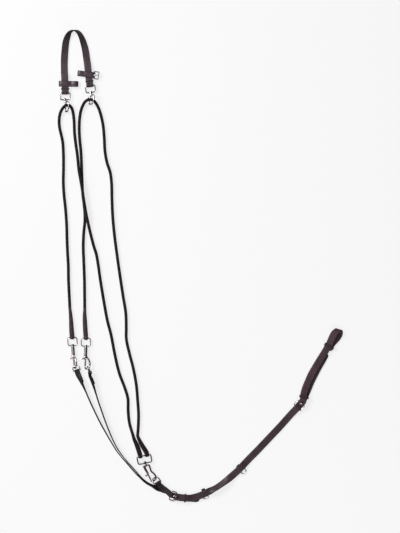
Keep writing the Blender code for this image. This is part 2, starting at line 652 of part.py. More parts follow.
cord_right_rows = [
    (84.8, 308, FLOOR_Z), (84.7, 298, FLOOR_Z), (84.5, 280, FLOOR_Z), (83.8, 261, FLOOR_Z),
    (83.3, 247, FLOOR_Z), (83.8, 233, FLOOR_Z), (84.9, 222, FLOOR_Z), (84.9, 213, FLOOR_Z),
    (84.0, 204, FLOOR_Z), (82.8, 194, FLOOR_Z), (82.2, 182, FLOOR_Z), (81.7, 168, FLOOR_Z),
    (81.0, 152, FLOOR_Z), (79.7, 138.5, FLOOR_Z), (79.3, 127, FLOOR_Z), (79.8, 117.5, FLOOR_Z),
    (81.0, 110.8, 4.9), (82.9, 105.8, 7.8), (85.3, 102.0, 12.2), (88.0, 100.2, 14.8),
    (90.4, 99.8, 14.2), (92.6, 100.2, 11.2), (94.6, 101.6, 8.2), (96.6, 104.3, 5.8),
    (98.6, 108.2, 4.7),
    (100.6, 114.0, FLOOR_Z), (103.0, 124.6, FLOOR_Z), (104.3, 138, FLOOR_Z),
    (105.0, 151, FLOOR_Z), (107.0, 162.5, FLOOR_Z), (110.2, 172.4, FLOOR_Z),
    (111.6, 183, FLOOR_Z), (112.0, 199, FLOOR_Z), (112.8, 217, FLOOR_Z), (114.6, 236, FLOOR_Z),
    (117.2, 256, FLOOR_Z), (119.9, 275, FLOOR_Z), (123.1, 296, FLOOR_Z), (125.8, 313, FLOOR_Z),
    (126.3, 327, FLOOR_Z), (126.4, 339, FLOOR_Z), (129.6, 354, FLOOR_Z),
    (133.0, 367, FLOOR_Z), (136.3, 384.5, FLOOR_Z), (137.7, 400.5, FLOOR_Z),
    (138.6, 414.5, FLOOR_Z), (138.3, 426.5, FLOOR_Z), (137.8, 434.0, FLOOR_Z)]
tube("cord_left", route(cord_left_rows), CORD_D / 2, CORD)
tube("cord_right", route(cord_right_rows), CORD_D / 2, CORD)


def splice(name, cord_rows, end, rows, bar, across, wire):
    """The spliced end of a cord: it swells from the cord's own section to a
    flattened eye, and the snap's bar runs through the eye. Rows: u, v, z, half
    width, half height in millimetres."""
    cord = route(cord_rows)
    cord = cord[::-1] if end == 0 else cord
    lead = (cord[-1] - cord[-2]).normalized()
    shape = [(*grid_of(cord[-1] + lead * step * MM), CORD_D / 2, CORD_D / 2)
             for step in (0.4, 5.0)] + rows
    even = np.vstack([shape[:1], smooth_path(shape[1:], 6.5)])
    points = [at(*row[:3]) for row in even]
    curve = bpy.data.curves.new(name, "CURVE")
    curve.dimensions = "3D"
    curve.bevel_depth = MM
    curve.bevel_resolution = 3
    curve.use_fill_caps = True
    spline = curve.splines.new("POLY")
    tail = (points[-1] - points[-2]).normalized()
    full = list(zip(points, even[:, 3])) + [
        (points[-1] + tail * step * MM, even[-1, 3] * part)
        for step, part in ((1.6, 0.9), (2.9, 0.68), (3.6, 0.36))]
    spline.points.add(len(full) - 1)
    for slot, (point, radius) in zip(spline.points, full):
        slot.co = (*point, 1.0)
        slot.radius = radius
    piece = as_mesh(keep(name, curve, CORD))
    places = [(p, h / w) for p, w, h in zip(points, even[:, 3], even[:, 4])]
    for corner in piece.data.vertices:
        place, squash = min(places, key=lambda q: (q[0] - corner.co).length)
        corner.co.z = place.z + (corner.co.z - place.z) * squash
    side = across.normalized()
    lie = axes(bar, side, UP.cross(side), UP) @ Matrix.Rotation(math.radians(90), 4, "Y")
    boolean(piece, rod(name + "_hole", wire + 0.35, -12, 12, lie, 12), "DIFFERENCE")
    return piece


FORK_ACROSS_L, FORK_ACROSS_R = plan(1, -0.06), plan(1, 0.0)
splice("splice_fork_left", cord_left_rows, 0, [
    (70.5, 313, 4.6, 5.0, 4.5), (71.1, 320, 5.0, 6.0, 4.8), (71.6, 329, 5.4, 6.9, 5.2),
    (72.2, 336.4, 5.6, 7.2, 5.4), (72.35, 338.1, 5.7, 6.8, 5.4)], EYE_L, FORK_ACROSS_L, BIG["wire"])
splice("splice_fork_right", cord_right_rows, 0, [
    (84.7, 313, 4.6, 5.2, 4.5), (84.9, 320, 5.0, 6.4, 4.8), (85.4, 330, 5.4, 6.9, 5.2),
    (85.9, 337.0, 5.6, 6.8, 5.4), (86.0, 338.8, 5.7, 6.4, 5.4)], EYE_R, FORK_ACROSS_R, BIG["wire"])
hole_l = CHEST_BAR - CHEST_ALONG * 9.7 * MM
hole_r = CHEST_BAR + CHEST_ALONG * 9.7 * MM


toward = plan(0.215, 0.977)
near_l, near_r = grid_of(hole_l - toward * 7 * MM), grid_of(hole_r - toward * 7 * MM)
past_l, past_r = grid_of(hole_l + toward * 1.8 * MM), grid_of(hole_r + toward * 1.8 * MM)
splice("splice_chest_left", cord_left_rows, -1, [
    (134.3, 439.3, 4.8, 5.3, 4.6), (137.0, 445.4, 5.2, 6.6, 5.0), (*near_l, 6.9, 5.3),
    (*past_l, 6.4, 5.4)], hole_l, CHEST_ALONG, CHEST["wire"])
splice("splice_chest_right", cord_right_rows, -1, [
    (139.2, 439.6, 4.8, 5.3, 4.6), (142.2, 445.4, 5.2, 6.6, 5.0), (*near_r, 6.9, 5.3),
    (*past_r, 6.4, 5.4)], hole_r, CHEST_ALONG, CHEST["wire"])

# ------------------------------------------------------ fork and chest snaps
fork_left = hang_snap("fork_snap_left", EYE_L, FORK_ACROSS_L, plan(0.06, 1), plan(0.075, 1),
                      57, BIG, 0.04)
fork_right = hang_snap("fork_snap_right", EYE_R, FORK_ACROSS_R, plan(-0.01, 1),
                       plan(-0.03, 1), 0, BIG, 0.085)
chest_frame = hang_snap("chest_snap", CHEST_BAR, CHEST_ALONG, plan(0.215, 0.977),
                        plan(0.454, 0.891), 17, CHEST, 0.085)


def spot_in(frame, x, z):
    return frame @ Vector((x * MM, 0, z * MM))


def dee(name, bar, apex, across, half, wire, low=1.8, high=7.5):
    """A dee ring from its straight bar to the middle of its bow."""
    side = across.normalized()
    up = (apex - bar) - (apex - bar).dot(side) * side
    depth = up.length / MM
    up.normalize()
    points = [(x * MM, 0, z * MM) for x, z in round_rect(-half, half, 0, depth, low, high, 4)]
    return tube(name, points, wire, NICKEL, axes(bar, side, up.cross(side), up), cyclic=True)


# ---------------------------------------------------------------- fork straps
FORK_BAR_L, FORK_BAR_R = (77.1, 370.7, 5.6), (90.1, 371.6, 11.7)
fork_left_start = leaning(*FORK_BAR_L, 0.33, 0.94, 0, -1, FORK_T, 1.5)
fork_right_start = leaning(*FORK_BAR_R, 0.36, 0.93, 75, -1, FORK_T, 1.5)


def on_edge(lean, extra=0.0):
    """Height of a fork strap's middle when it stands on the floor and leans."""
    a = math.radians(lean)
    return FORK_W / 2 * abs(math.sin(a)) + FORK_T / 2 * abs(math.cos(a)) + extra


def stacked(lean):
    """The same with room below for the other fork strap once it lies beneath."""
    return on_edge(lean, 0.25) + (FORK_T + GAP + 0.05) * max(0.0, -math.cos(math.radians(lean)))


fork_right_rows = [fork_right_start, (89.7, 376, 10.4, 71), (91.0, 378.8, 10.0, 67),
                   (93.2, 384.5, 9.2, 66)] + [
    (u, v, stacked(a), a) for u, v, a in (
        (95.1, 390.5, 75), (96.9, 396.5, 80), (98.8, 402.5, 80), (100.9, 408.5, 80),
        (105.1, 420.5, 81), (109.8, 432.5, 82), (112.4, 438.5, 83), (115.3, 444.5, 84),
        (118.8, 450.5, 84), (123.1, 456.5, 86), (128.1, 462.5, 89), (131.5, 466.2, 90),
        (135.5, 470.7, 90), (139.5, 475.3, 91), (143.5, 479.4, 92), (147.5, 482.5, 94),
        (151.5, 484.6, 98), (153.6, 485.6, 106), (155.8, 486.8, 126), (158.4, 488.1, 154),
        (161.4, 489.3, 178), (165.6, 491.0, 180))]
right_line = stations(fork_right_rows, FORK_T, FORK_W)
fork_left_rows = [fork_left_start, (78.2, 374.4, 8.3, 16), (80.0, 378.5, 9.2, 42),
                  (82.7, 384.5, 9.3, 65)] + [
    (u, v, on_edge(a, 0.12), a) for u, v, a in (
        (85.4, 390.5, 77), (88.0, 396.5, 80), (90.6, 402.5, 80), (93.4, 408.5, 80),
        (99.2, 420.5, 80), (102.4, 426.5, 80), (105.8, 432.5, 81), (109.2, 438.5, 82),
        (112.8, 444.5, 83), (116.5, 450.5, 84), (121.1, 456.5, 86), (126.5, 462.6, 89))]
left_line = stations(fork_left_rows, FORK_T, FORK_W)
side_start = min(range(len(right_line)), key=lambda i: (
    right_line[i][0] - at(131.5, 466.2)).length)
beside = right_line[side_start:]
for k, (place, travel, width, face) in enumerate(beside):
    along = (place - beside[0][0]).length / MM
    gap = FORK_T + GAP + 0.05 + 1.3 * (1 - ease((along - 22) / 20))
    left_line.append((place + face * gap * MM, travel, width, face))
for name, line in (("fork_strap_left", left_line), ("fork_strap_right", right_line)):
    back, bar = folded(line, 0, -1, 37.0, FORK_T, 1.5)
    ribbon(name, back[::-1] + plain(line), FORK_W, FORK_T, LEATHER)
    if name.endswith("left"):
        dee("fork_dee_left", bar[0], spot_in(fork_left, 6.4, -59.2), bar[2], 9.8, 1.5)
    else:
        dee("fork_dee_right", bar[0], spot_in(fork_right, 5.8, -57.6), bar[2], 9.8, 1.5)

# ----------------------------------------------------- buckles and their straps
def buckle(prefix, bar):
    """A strap buckle seen from its back, on the bar of a folded strap: the heel
    bar is high, the front bar low. Returns the placements of the billet's hole
    and of the slot for the tongue."""
    heel, forward = bar[0], -flat(bar[1])
    side = flat(bar[2])
    low = heel - forward * BUCKLE_LEN * MM
    low.z = FRONT_Z * MM
    run = (heel - low)
    length = run.length / MM
    run.normalize()
    points = [(x * MM, y * MM, 0) for x, y in
              round_rect(-BUCKLE_HALF, BUCKLE_HALF, -length, 0, 3.6, 2.0, 3)]
    tube(prefix + "_frame", points, EYE_WIRE, NICKEL,
         axes(heel, side, run, side.cross(run)), cyclic=True)
    wrap, wire = EYE_WIRE + 0.35 + 1.3, 1.3
    angle = math.atan2(-wrap * 0.62, -wrap * 0.78)
    path = [(wrap * math.cos(angle - math.radians(282) * (10 - k) / 10),
             wrap * math.sin(angle - math.radians(282) * (10 - k) / 10)) for k in range(11)]
    tip = (-BUCKLE_LEN - 1.2, FRONT_Z - HEEL_Z - EYE_WIRE - wire - GAP)
    path += [(-8.0, -4.6), (-13.2, tip[1]), tip]
    across = UP.cross(forward)
    lay = axes(heel, forward, across, UP)
    tube(prefix + "_tongue", [(x * MM, 0, z * MM) for x, z in path], wire, NICKEL, lay)
    reach = (forward * 0.92 + UP * 0.39).normalized()
    aim = axes(heel - forward * 8.4 * MM - UP * 4.75 * MM, across, reach.cross(across), reach)
    return aim, lay


YOKE_W = 16.0
yoke_start = leaning(158.2, 483.2, 10.6, 0.66, 0.75, -35, -1, STRAP_T, EYE_WIRE)
yoke_rows = [yoke_start, (159.9, 485.2, 12.2, -28), (161.9, 487.0, 11.0, -18),
             (164.4, 489.0, 9.3, -7), (167.3, 491.2, 8.4, 0), (169.4, 493.1, 8.4, 0),
             (170.55, 494.45, 8.5, 0), (171.2, 494.75, 8.05, 0), (173.1, 495.3, 4.9, 0),
             (174.8, 495.85, 2.0, 0), (175.6, 496.1, 1.62, 0), (179, 497.0, 1.62, 0),
             (182.4, 497.9, 2.6, 0), (185.4, 498.2, 2.9, 0), (188.4, 498.6, 2.5, 0),
             (192, 499.0, 1.62, 0), (199.3, 499.6, 1.62, 0)]
yoke_line = stations(yoke_rows, STRAP_T, YOKE_W)
yoke_back, yoke_bar = folded(yoke_line, 0, -1, 15.0, STRAP_T, EYE_WIRE)
# Chest strap: folded on the junction buckle's heel bar, over the yoke's tail and
# the two dees, then through the girth buckle and on beneath the girth strap.
chest_start = leaning(176, 496.5, HEEL_Z, 0.966, 0.22, 0, -1, STRAP_T, EYE_WIRE)
chest_rows = [
    chest_start, (178.2, 497.0, 10.6, 0), (181.4, 497.5, 9.3, 0), (184.9, 497.7, 9.7, 0),
    (187.6, 498.0, 9.0, 0), (190.6, 498.0, 6.4, 0), (194, 497.3, 5.0, 0),
    (198, 496.2, 5.2, 0), (201.5, 494.9, 6.5, 0), (204.6, 493.5, 6.6, 0), (208.0, 491.8, 6.9, 0),
    (210.4, 490.6, 7.3, -22), (213.4, 489.0, 7.4, -40), (217.0, 487.0, 7.1, -42),
    (222.0, 483.6, 7.0, -38), (226.5, 480.3, 6.2, -28), (230, 477.5, 4.4, -12),
    (234.4, 473.7, 3.6, 0), (237.6, 470.8, 6.2, 0), (240, 468.4, 6.6, 0),
    (242.4, 465.9, 6.2, 0), (245.4, 462.7, 3.4, 0), (249.5, 458.4, 1.7, 0),
    (258, 449.8, 1.6, 0), (268.5, 438.7, 1.6, 0), (280.5, 426.0, 1.6, 0), (288, 417.6, 1.6, 0),
    (292.3, 412.8, 3.6, 0), (295.6, 409.3, 7.6, 0), (297.4, 407.5, 8.5, 0),
    (297.8, 407.05, 8.05, 0), (299.2, 405.5, 4.9, 0), (300.4, 404.1, 2.1, 0),
    (301.1, 403.3, 1.65, 0), (302.8, 400.7, 2.7, 0), (304.9, 395.9, 2.9, 0),
    (307.7, 390.0, 2.0, 0), (311.0, 382.0, 1.6, 0), (318.7, 366.8, 1.6, 0),
    (323.4, 358.5, 1.6, 0), (326.2, 353.2, 1.6, 0)]
chest_line = stations(chest_rows, STRAP_T, STRAP_W)
chest_back, chest_bar = folded(chest_line, 0, -1, 29.0, STRAP_T, EYE_WIRE)
# Girth strap: folded on its buckle, keeper, then the loop for the girth, whose
# end comes back under the big keeper.
girth_start = leaning(301.2, 403.2, HEEL_Z, 0.66, -0.75, 0, -1, STRAP_T, EYE_WIRE)
girth_rows = [
    girth_start, (302.5, 401.7, 11.0, 0), (303.2, 399.6, 9.9, 0), (303.4, 397.2, 9.6, 0),
    (303.7, 394.3, 9.3, 0), (304.6, 390.5, 7.4, 0), (306.0, 386.5, 5.5, 0),
    (307.7, 382.5, 5.0, 0), (311.1, 374.8, 5.0, 0), (315.5, 367.0, 5.0, 0),
    (320.6, 358.6, 5.0, 0), (325.5, 350.8, 5.9, 0), (328.2, 346.0, 6.4, 0)]
# The girth loop: the end rolls over to the right and comes back beneath itself.
# Row: u, v, height and the direction across the strap.
loop_rows = [
    (329.6, 343.4, 7.0, -0.88, -0.47, 0), (331.1, 339.7, 8.4, -0.89, -0.46, 0),
    (332.8, 335.9, 10.6, -0.90, -0.44, 0), (334.9, 332.4, 12.6, -0.92, -0.40, 0),
    (336.8, 330.4, 13.0, -0.95, -0.32, 0), (338.1, 329.6, 11.4, -0.95, -0.30, 0),
    (338.9, 329.5, 8.2, -0.95, -0.30, 0), (339.4, 330.2, 4.8, -0.95, -0.30, 0),
    (339.5, 331.9, 2.6, -0.95, -0.31, 0), (339.1, 334.2, 1.9, -0.93, -0.37, 0),
    (337.7, 337.0, 1.8, -0.86, -0.51, 0), (335.3, 340.0, 1.8, -0.78, -0.62, 0),
    (332.5, 343.0, 2.4, -0.76, -0.65, 0), (330.0, 346.3, 2.7, -0.80, -0.60, 0),
    (328.3, 349.3, 2.5, -0.84, -0.54, 0)]
girth_line = stations(girth_rows, STRAP_T, STRAP_W)
girth_back, girth_bar = folded(girth_line, 0, -1, 28.0, STRAP_T, EYE_WIRE)
hole_axis, slot_at = buckle("junction_buckle", chest_bar)
girth_axis, girth_slot = buckle("girth_buckle", girth_bar)
yoke = ribbon("yoke_strap", yoke_back[::-1] + pointed(plain(yoke_line), 12.0), YOKE_W,
              STRAP_T, LEATHER)
boolean(yoke, rod("yoke_hole", 1.85, -7, 9, hole_axis, 12), "DIFFERENCE")
dee("chest_ring", yoke_bar[0], spot_in(chest_frame, 0.6, -49.6), yoke_bar[2], 11.7, 1.75,
    2.0, 9.5)

chest = ribbon("chest_strap", chest_back[::-1] + pointed(plain(chest_line), 7.0), STRAP_W,
               STRAP_T, LEATHER)
boolean(chest, box("chest_slot", (13.5, 5.0, 11.4), slot_at @ Matrix.Translation(
    (-0.2 * MM, 0, 0.5 * MM))), "DIFFERENCE")
boolean(chest, rod("chest_hole", 1.85, -7, 9, girth_axis, 12), "DIFFERENCE")

loop_path = [(at(*row[:3]), Vector((row[3], -row[4], row[5])).normalized())
             for row in smooth_path(loop_rows, 3.2)]
girth = ribbon("girth_strap", girth_back[::-1] + plain(girth_line) + loop_path, STRAP_W, STRAP_T,
               LEATHER)
boolean(girth, box("girth_slot", (13.0, 5.0, 11.4), girth_slot @ Matrix.Translation(
    (0.05 * MM, 0, 0.5 * MM))), "DIFFERENCE")

# Keepers.
band = near(chest_line, 184.9, 497.7)
keeper("junction_keeper", at(185.2, 497.9), flat(band[2]), 22.4, 1.1, 11.6, 5.0, 0.9)
keeper("girth_keeper_small", at(303.95, 397.0), plan(-0.97, -0.25), 25.8, 1.1, 11.5, 6.0, 0.9)
band = near(girth_line, 327.9, 346.6)
keeper("girth_keeper", at(329.0, 346.3), flat(band[2]), 27.4, 0.9, 8.8, 9.0, 0.9)


# ------------------------------------------------- dees under the chest strap
def sewn_dee(prefix, u, v, along, out, inset, stick):
    """A dee under the chest strap: its bar lies along the strap, inset from the
    strap's middle towards the edge, on a leather tab sewn beneath the strap."""
    bar = at(u, v, 3.15) + out * inset * MM
    dee(prefix, bar, bar + out * stick * MM, along, 7.4, 1.4, 1.8, 5.4)
    rows = []
    for step, height in ((2.6, 0.8), (0.0, 0.8), (-2.4, 0.8), (-4.6, 1.5), (-6.8, 3.0),
                         (-9.2, 3.8), (-12.4, 3.9), (-16.0, 3.9)):
        point = bar + out * step * MM
        rows.append((Vector((point.x, point.y, height * MM)), along))
    ribbon(prefix + "_tab", rows, 11.0, 1.3, LEATHER)


sewn_dee("chest_dee_front", 204.5, 493.4, plan(0.95, -0.31), plan(0.31, 0.95), 2.0, 13.5)
sewn_dee("chest_dee_rear", 240.2, 468.0, plan(0.68, -0.73), plan(0.73, 0.68), 5.0, 13.5)
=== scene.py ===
"""Looks of the gogue: leather straps, braided cords and nickel hardware, built round
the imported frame. Metres, +Z up. Layout grid and routes are those of the model."""
import math

import bmesh
import bpy
import numpy as np
from mathutils import Matrix, Vector, noise


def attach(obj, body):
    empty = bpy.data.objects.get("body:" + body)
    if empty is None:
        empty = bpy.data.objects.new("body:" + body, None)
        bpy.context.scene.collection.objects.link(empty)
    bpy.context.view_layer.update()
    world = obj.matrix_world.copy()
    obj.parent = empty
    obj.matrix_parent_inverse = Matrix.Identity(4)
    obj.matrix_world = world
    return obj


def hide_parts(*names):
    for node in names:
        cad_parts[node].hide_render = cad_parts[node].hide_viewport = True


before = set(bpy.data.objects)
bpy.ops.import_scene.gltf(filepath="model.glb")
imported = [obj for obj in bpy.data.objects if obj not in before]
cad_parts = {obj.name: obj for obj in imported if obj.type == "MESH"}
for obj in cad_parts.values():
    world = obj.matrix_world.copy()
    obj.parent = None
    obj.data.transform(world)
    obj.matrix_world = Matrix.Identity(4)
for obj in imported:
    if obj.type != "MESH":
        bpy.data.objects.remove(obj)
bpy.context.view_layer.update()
SCENE = bpy.context.scene

# ---------------------------------------------------------------- dimensions
GRID = 0.00286
ORIGIN_U, ORIGIN_V = 200.83, 266.12
MM = 0.001
STRAP_W, STRAP_T = 20.0, 3.0
FORK_W, FORK_T = 15.0, 2.6
CORD_D = 8.6
GAP = 0.3
EYE_WIRE = 1.75
BUCKLE_LEN, BUCKLE_HALF = 16.5, 12.7
HEEL_Z, FRONT_Z = 8.35, 4.9
BAND_T, BAND_H = 2.0, 16.0
YOKE_W = 16.0
UP = Vector((0, 0, 1))


# ------------------------------------------------------------------- helpers
def at(u, v, height=0.0):
    return Vector(((u - ORIGIN_U) * GRID, (ORIGIN_V - v) * GRID, height * MM))


def grid_of(point):
    return (ORIGIN_U + point.x / GRID, ORIGIN_V - point.y / GRID, point.z / MM)


def plan(du, dv):
    return Vector((du, -dv, 0.0)).normalized()


def flat(direction):
    return Vector((direction.x, direction.y, 0)).normalized()


def axes(origin, x, y, z):
    return Matrix(((x.x, y.x, z.x, origin.x), (x.y, y.y, z.y, origin.y),
                   (x.z, y.z, z.z, origin.z), (0, 0, 0, 1)))


def ease(x):
    x = min(max(x, 0.0), 1.0)
    return x * x * (3 - 2 * x)


def smooth_path(rows, step):
    """Even samples of the centripetal Catmull-Rom curve through the rows."""
    rows = np.array(rows, float)
    scale = np.array([GRID / MM, GRID / MM, 1.0])
    full = np.vstack([2 * rows[0] - rows[1], rows, 2 * rows[-1] - rows[-2]])
    places = full[:, :3] * scale
    knots = np.concatenate(
        [[0], np.cumsum(np.sqrt(np.linalg.norm(np.diff(places, axis=0), axis=1)))])
    dense = []
    for i in range(1, len(full) - 2):
        t0, t1, t2, t3 = knots[i - 1:i + 3]
        for t in np.linspace(t1, t2, 24, endpoint=False):
            a1 = (t1 - t) / (t1 - t0) * full[i - 1] + (t - t0) / (t1 - t0) * full[i]
            a2 = (t2 - t) / (t2 - t1) * full[i] + (t - t1) / (t2 - t1) * full[i + 1]
            a3 = (t3 - t) / (t3 - t2) * full[i + 1] + (t - t2) / (t3 - t2) * full[i + 2]
            b1 = (t2 - t) / (t2 - t0) * a1 + (t - t0) / (t2 - t0) * a2
            b2 = (t3 - t) / (t3 - t1) * a2 + (t - t1) / (t3 - t1) * a3
            dense.append((t2 - t) / (t2 - t1) * b1 + (t - t1) / (t2 - t1) * b2)
    dense.append(rows[-1])
    dense = np.array(dense)
    run = np.concatenate([[0], np.cumsum(np.linalg.norm(
        np.diff(dense[:, :3] * scale, axis=0), axis=1))])
    count = max(2, int(round(run[-1] / step)) + 1)
    even = np.linspace(0, run[-1], count)
    return np.stack([np.interp(even, run, dense[:, k]) for k in range(dense.shape[1])], 1)


def stations(rows, thickness, width):
    """Every sample along a strap: point, travel, width and face directions."""
    even = smooth_path(rows, 1.2)
    points = [at(u, v, h) for u, v, h in even[:, :3]]
    found = []
    for i, point in enumerate(points):
        travel = (points[min(i + 1, len(points) - 1)] - points[max(i - 1, 0)]).normalized()
        side = Vector((-travel.y, travel.x, 0.0)).normalized()
        up = travel.cross(side).normalized()
        lean = math.radians(even[i, 3])
        across = math.cos(lean) * side + math.sin(lean) * up
        face = -math.sin(lean) * side + math.cos(lean) * up
        low = (width / 2 * abs(across.z) + thickness / 2 * abs(face.z) + 0.12) * MM
        found.append((Vector((point.x, point.y, max(point.z, low))), travel, across, face))
    return found


def folded(line, end, sign, back, thickness, bar, spread=9.0):
    """The turned-back end of a strap round a bar, and the bar's placement."""
    radius = (bar + GAP + thickness / 2) * MM
    point, travel, width, face = line[end]
    outward = travel if end == -1 else -travel
    centre = point + sign * radius * face
    turned = []
    for k in range(1, 16):
        angle = math.pi * k / 16
        turned.append((centre + radius * (-sign * math.cos(angle) * face
                                          + math.sin(angle) * outward), width))
    order = line if end == 0 else line[::-1]
    run, last = 0.0, order[0]
    for here in order:
        length = (here[0] - last[0]).length / MM
        part = 1.0
        if run + length > back:
            part = (back - run) / length if length else 1.0
        gone = run + length * part
        rise = (thickness + GAP) + (2 * radius / MM - thickness - GAP) * (
            1 - ease(gone / spread))
        place = last[0].lerp(here[0], part)
        normal = last[3].lerp(here[3], part).normalized()
        turned.append((place + sign * rise * MM * normal, last[2].lerp(here[2], part).normalized()))
        run += length
        last = here
        if run >= back:
            break
    return turned, (centre, outward, width, face)


def plain(line):
    return [(point, width) for point, _, width, _ in line]


def pointed(rows, length):
    """Narrows the last rows to a rounded point over the given length."""
    run, shaped = 0.0, []
    for i in range(len(rows) - 1, -1, -1):
        if i < len(rows) - 1:
            run += (rows[i + 1][0] - rows[i][0]).length / MM
        factor = 1.0 if run >= length else 0.26 + 0.74 * math.sqrt(
            max(0.0, 1 - (1 - run / length) ** 2))
        shaped.append((rows[i][0], rows[i][1], factor))
    return shaped[::-1]


def leaning(bar_u, bar_v, bar_h, du, dv, lean, sign, thickness, bar):
    travel = plan(du, dv)
    side = Vector((-travel.y, travel.x, 0))
    angle = math.radians(lean)
    face = -math.sin(angle) * side + math.cos(angle) * UP
    point = at(bar_u, bar_v, bar_h) - sign * (bar + GAP + thickness / 2) * MM * face
    return (ORIGIN_U + point.x / GRID, ORIGIN_V - point.y / GRID, point.z / MM, lean)


def near(line, u, v):
    goal = at(u, v)
    return min(line, key=lambda s: (s[0].x - goal.x) ** 2 + (s[0].y - goal.y) ** 2)


def round_rect(x0, x1, y0, y1, low, high, steps=8):
    found = []
    for cx, cy, r, start in ((x1 - low, y0 + low, low, -90), (x1 - high, y1 - high, high, 0),
                             (x0 + high, y1 - high, high, 90), (x0 + low, y0 + low, low, 180)):
        for k in range(steps + 1):
            angle = math.radians(start + 90 * k / steps)
            found.append((cx + r * math.cos(angle), cy + r * math.sin(angle)))
    return found


# ----------------------------------------------------------------- materials
class Nodes:
    """Small helper that adds and links shader nodes."""

    def __init__(self, name):
        self.made = bpy.data.materials.new(name)
        self.made.use_nodes = True
        self.tree = self.made.node_tree
        self.shader = self.tree.nodes["Principled BSDF"]

    def add(self, kind, **settings):
        node = self.tree.nodes.new("ShaderNode" + kind)
        for key, value in settings.items():
            if key in node.inputs.keys():
                node.inputs[key].default_value = value
            else:
                setattr(node, key, value)
        return node

    def link(self, a, b):
        self.tree.links.new(a, b)

    def put(self, node, **values):
        for key, value in values.items():
            node.inputs[key.replace("_", " ")].default_value = value
        return node

    def math(self, operation, a, b=None, clamp=False):
        node = self.add("Math", operation=operation, use_clamp=clamp)
        for slot, value in ((0, a), (1, b)):
            if value is None:
                continue
            if isinstance(value, (int, float)):
                node.inputs[slot].default_value = value
            else:
                self.link(value, node.inputs[slot])
        return node.outputs[0]

    def mix(self, factor, a, b, blend="MIX"):
        node = self.add("Mix", data_type="RGBA", blend_type=blend)
        for slot, value in ((0, factor), (6, a), (7, b)):
            if isinstance(value, (int, float)):
                node.inputs[slot].default_value = value
            elif isinstance(value, tuple):
                node.inputs[slot].default_value = (*value, 1.0)
            else:
                self.link(value, node.inputs[slot])
        return node.outputs[2]

    def ramp(self, value, low, high, a=0.0, b=1.0):
        node = self.add("MapRange", interpolation_type="SMOOTHSTEP")
        self.link(value, node.inputs["Value"])
        for key, number in (("From Min", low), ("From Max", high), ("To Min", a), ("To Max", b)):
            node.inputs[key].default_value = number
        return node.outputs["Result"]

    def coords(self):
        return self.add("TexCoord").outputs["Object"]

    def noise(self, where, scale, detail=3.0, rough=0.55):
        node = self.add("TexNoise")
        node.inputs["Scale"].default_value = scale
        node.inputs["Detail"].default_value = detail
        node.inputs["Roughness"].default_value = rough
        self.link(where, node.inputs["Vector"])
        return node.outputs[0]

    def attribute(self, name, output="Fac"):
        node = self.add("Attribute", attribute_name=name)
        return node.outputs[output]

    def bump(self, height, distance, strength=1.0, after=None):
        node = self.add("Bump")
        node.inputs["Distance"].default_value = distance
        node.inputs["Strength"].default_value = strength
        self.link(height, node.inputs["Height"])
        if after is not None:
            self.link(after, node.inputs["Normal"])
        return node.outputs[0]


def leather(name, dark, light, edge_colour, rough=0.40, grain=1.0, sheen=0.0):
    """Waxed bridle leather: fine pebbled grain, soft mottling, painted highlights in random lighter
    patches, dyed and burnished edges and a rougher flesh side."""
    n = Nodes(name)
    where = n.coords()
    mottle = n.noise(where, 38.0, 4.0, 0.6)
    patch = n.noise(where, 9.0, 2.0, 0.5)
    fine = n.noise(where, 900.0, 2.0, 0.7)
    colour = n.mix(n.ramp(mottle, 0.30, 0.72), dark, light)
    # Painted highlights: patches of noise mixed towards a lighter colour.
    colour = n.mix(n.math("MULTIPLY", n.ramp(patch, 0.42, 0.70), 0.30), colour,
                   tuple(min(1.0, c * 1.5) for c in light))
    pebble = n.add("TexVoronoi", feature="F1")
    pebble.inputs["Scale"].default_value = 820.0
    n.link(where, pebble.inputs["Vector"])
    pores = n.ramp(pebble.outputs["Distance"], 0.10, 0.62)
    colour = n.mix(n.math("MULTIPLY", n.math("SUBTRACT", 1.0, pores), 0.22), colour, edge_colour)
    # The edge attribute carries the dyed edges and also the painted shade spans laid on by
    # Strap.skin.
    edge = n.attribute("edge")
    colour = n.mix(n.ramp(edge, 0.45, 0.95), colour, edge_colour)
    flesh = n.attribute("flesh")
    colour = n.mix(n.math("MULTIPLY", flesh, 0.25), colour,
                   tuple(c * 0.72 for c in dark))
    n.link(colour, n.shader.inputs["Base Color"])
    gloss = n.math("ADD", n.ramp(mottle, 0.25, 0.8, rough + 0.09, rough - 0.06),
                   n.math("MULTIPLY", flesh, 0.16))
    gloss = n.math("ADD", gloss, n.math("MULTIPLY", n.math("SUBTRACT", fine, 0.5), 0.14))
    n.link(gloss, n.shader.inputs["Roughness"])
    height = n.math("ADD", n.math("MULTIPLY", pores, 0.7), n.math("MULTIPLY", fine, 0.3))
    wrinkle = n.noise(where, 210.0, 4.0, 0.62)
    normal = n.bump(height, 0.00016 * grain, 0.75)
    normal = n.bump(wrinkle, 0.00045 * grain, 0.40, normal)
    n.link(normal, n.shader.inputs["Normal"])
    n.shader.inputs["Specular IOR Level"].default_value = 0.42
    n.shader.inputs["Coat Weight"].default_value = 0.10
    n.shader.inputs["Coat Roughness"].default_value = 0.30
    if sheen:
        n.shader.inputs["Sheen Weight"].default_value = sheen
    return n.made


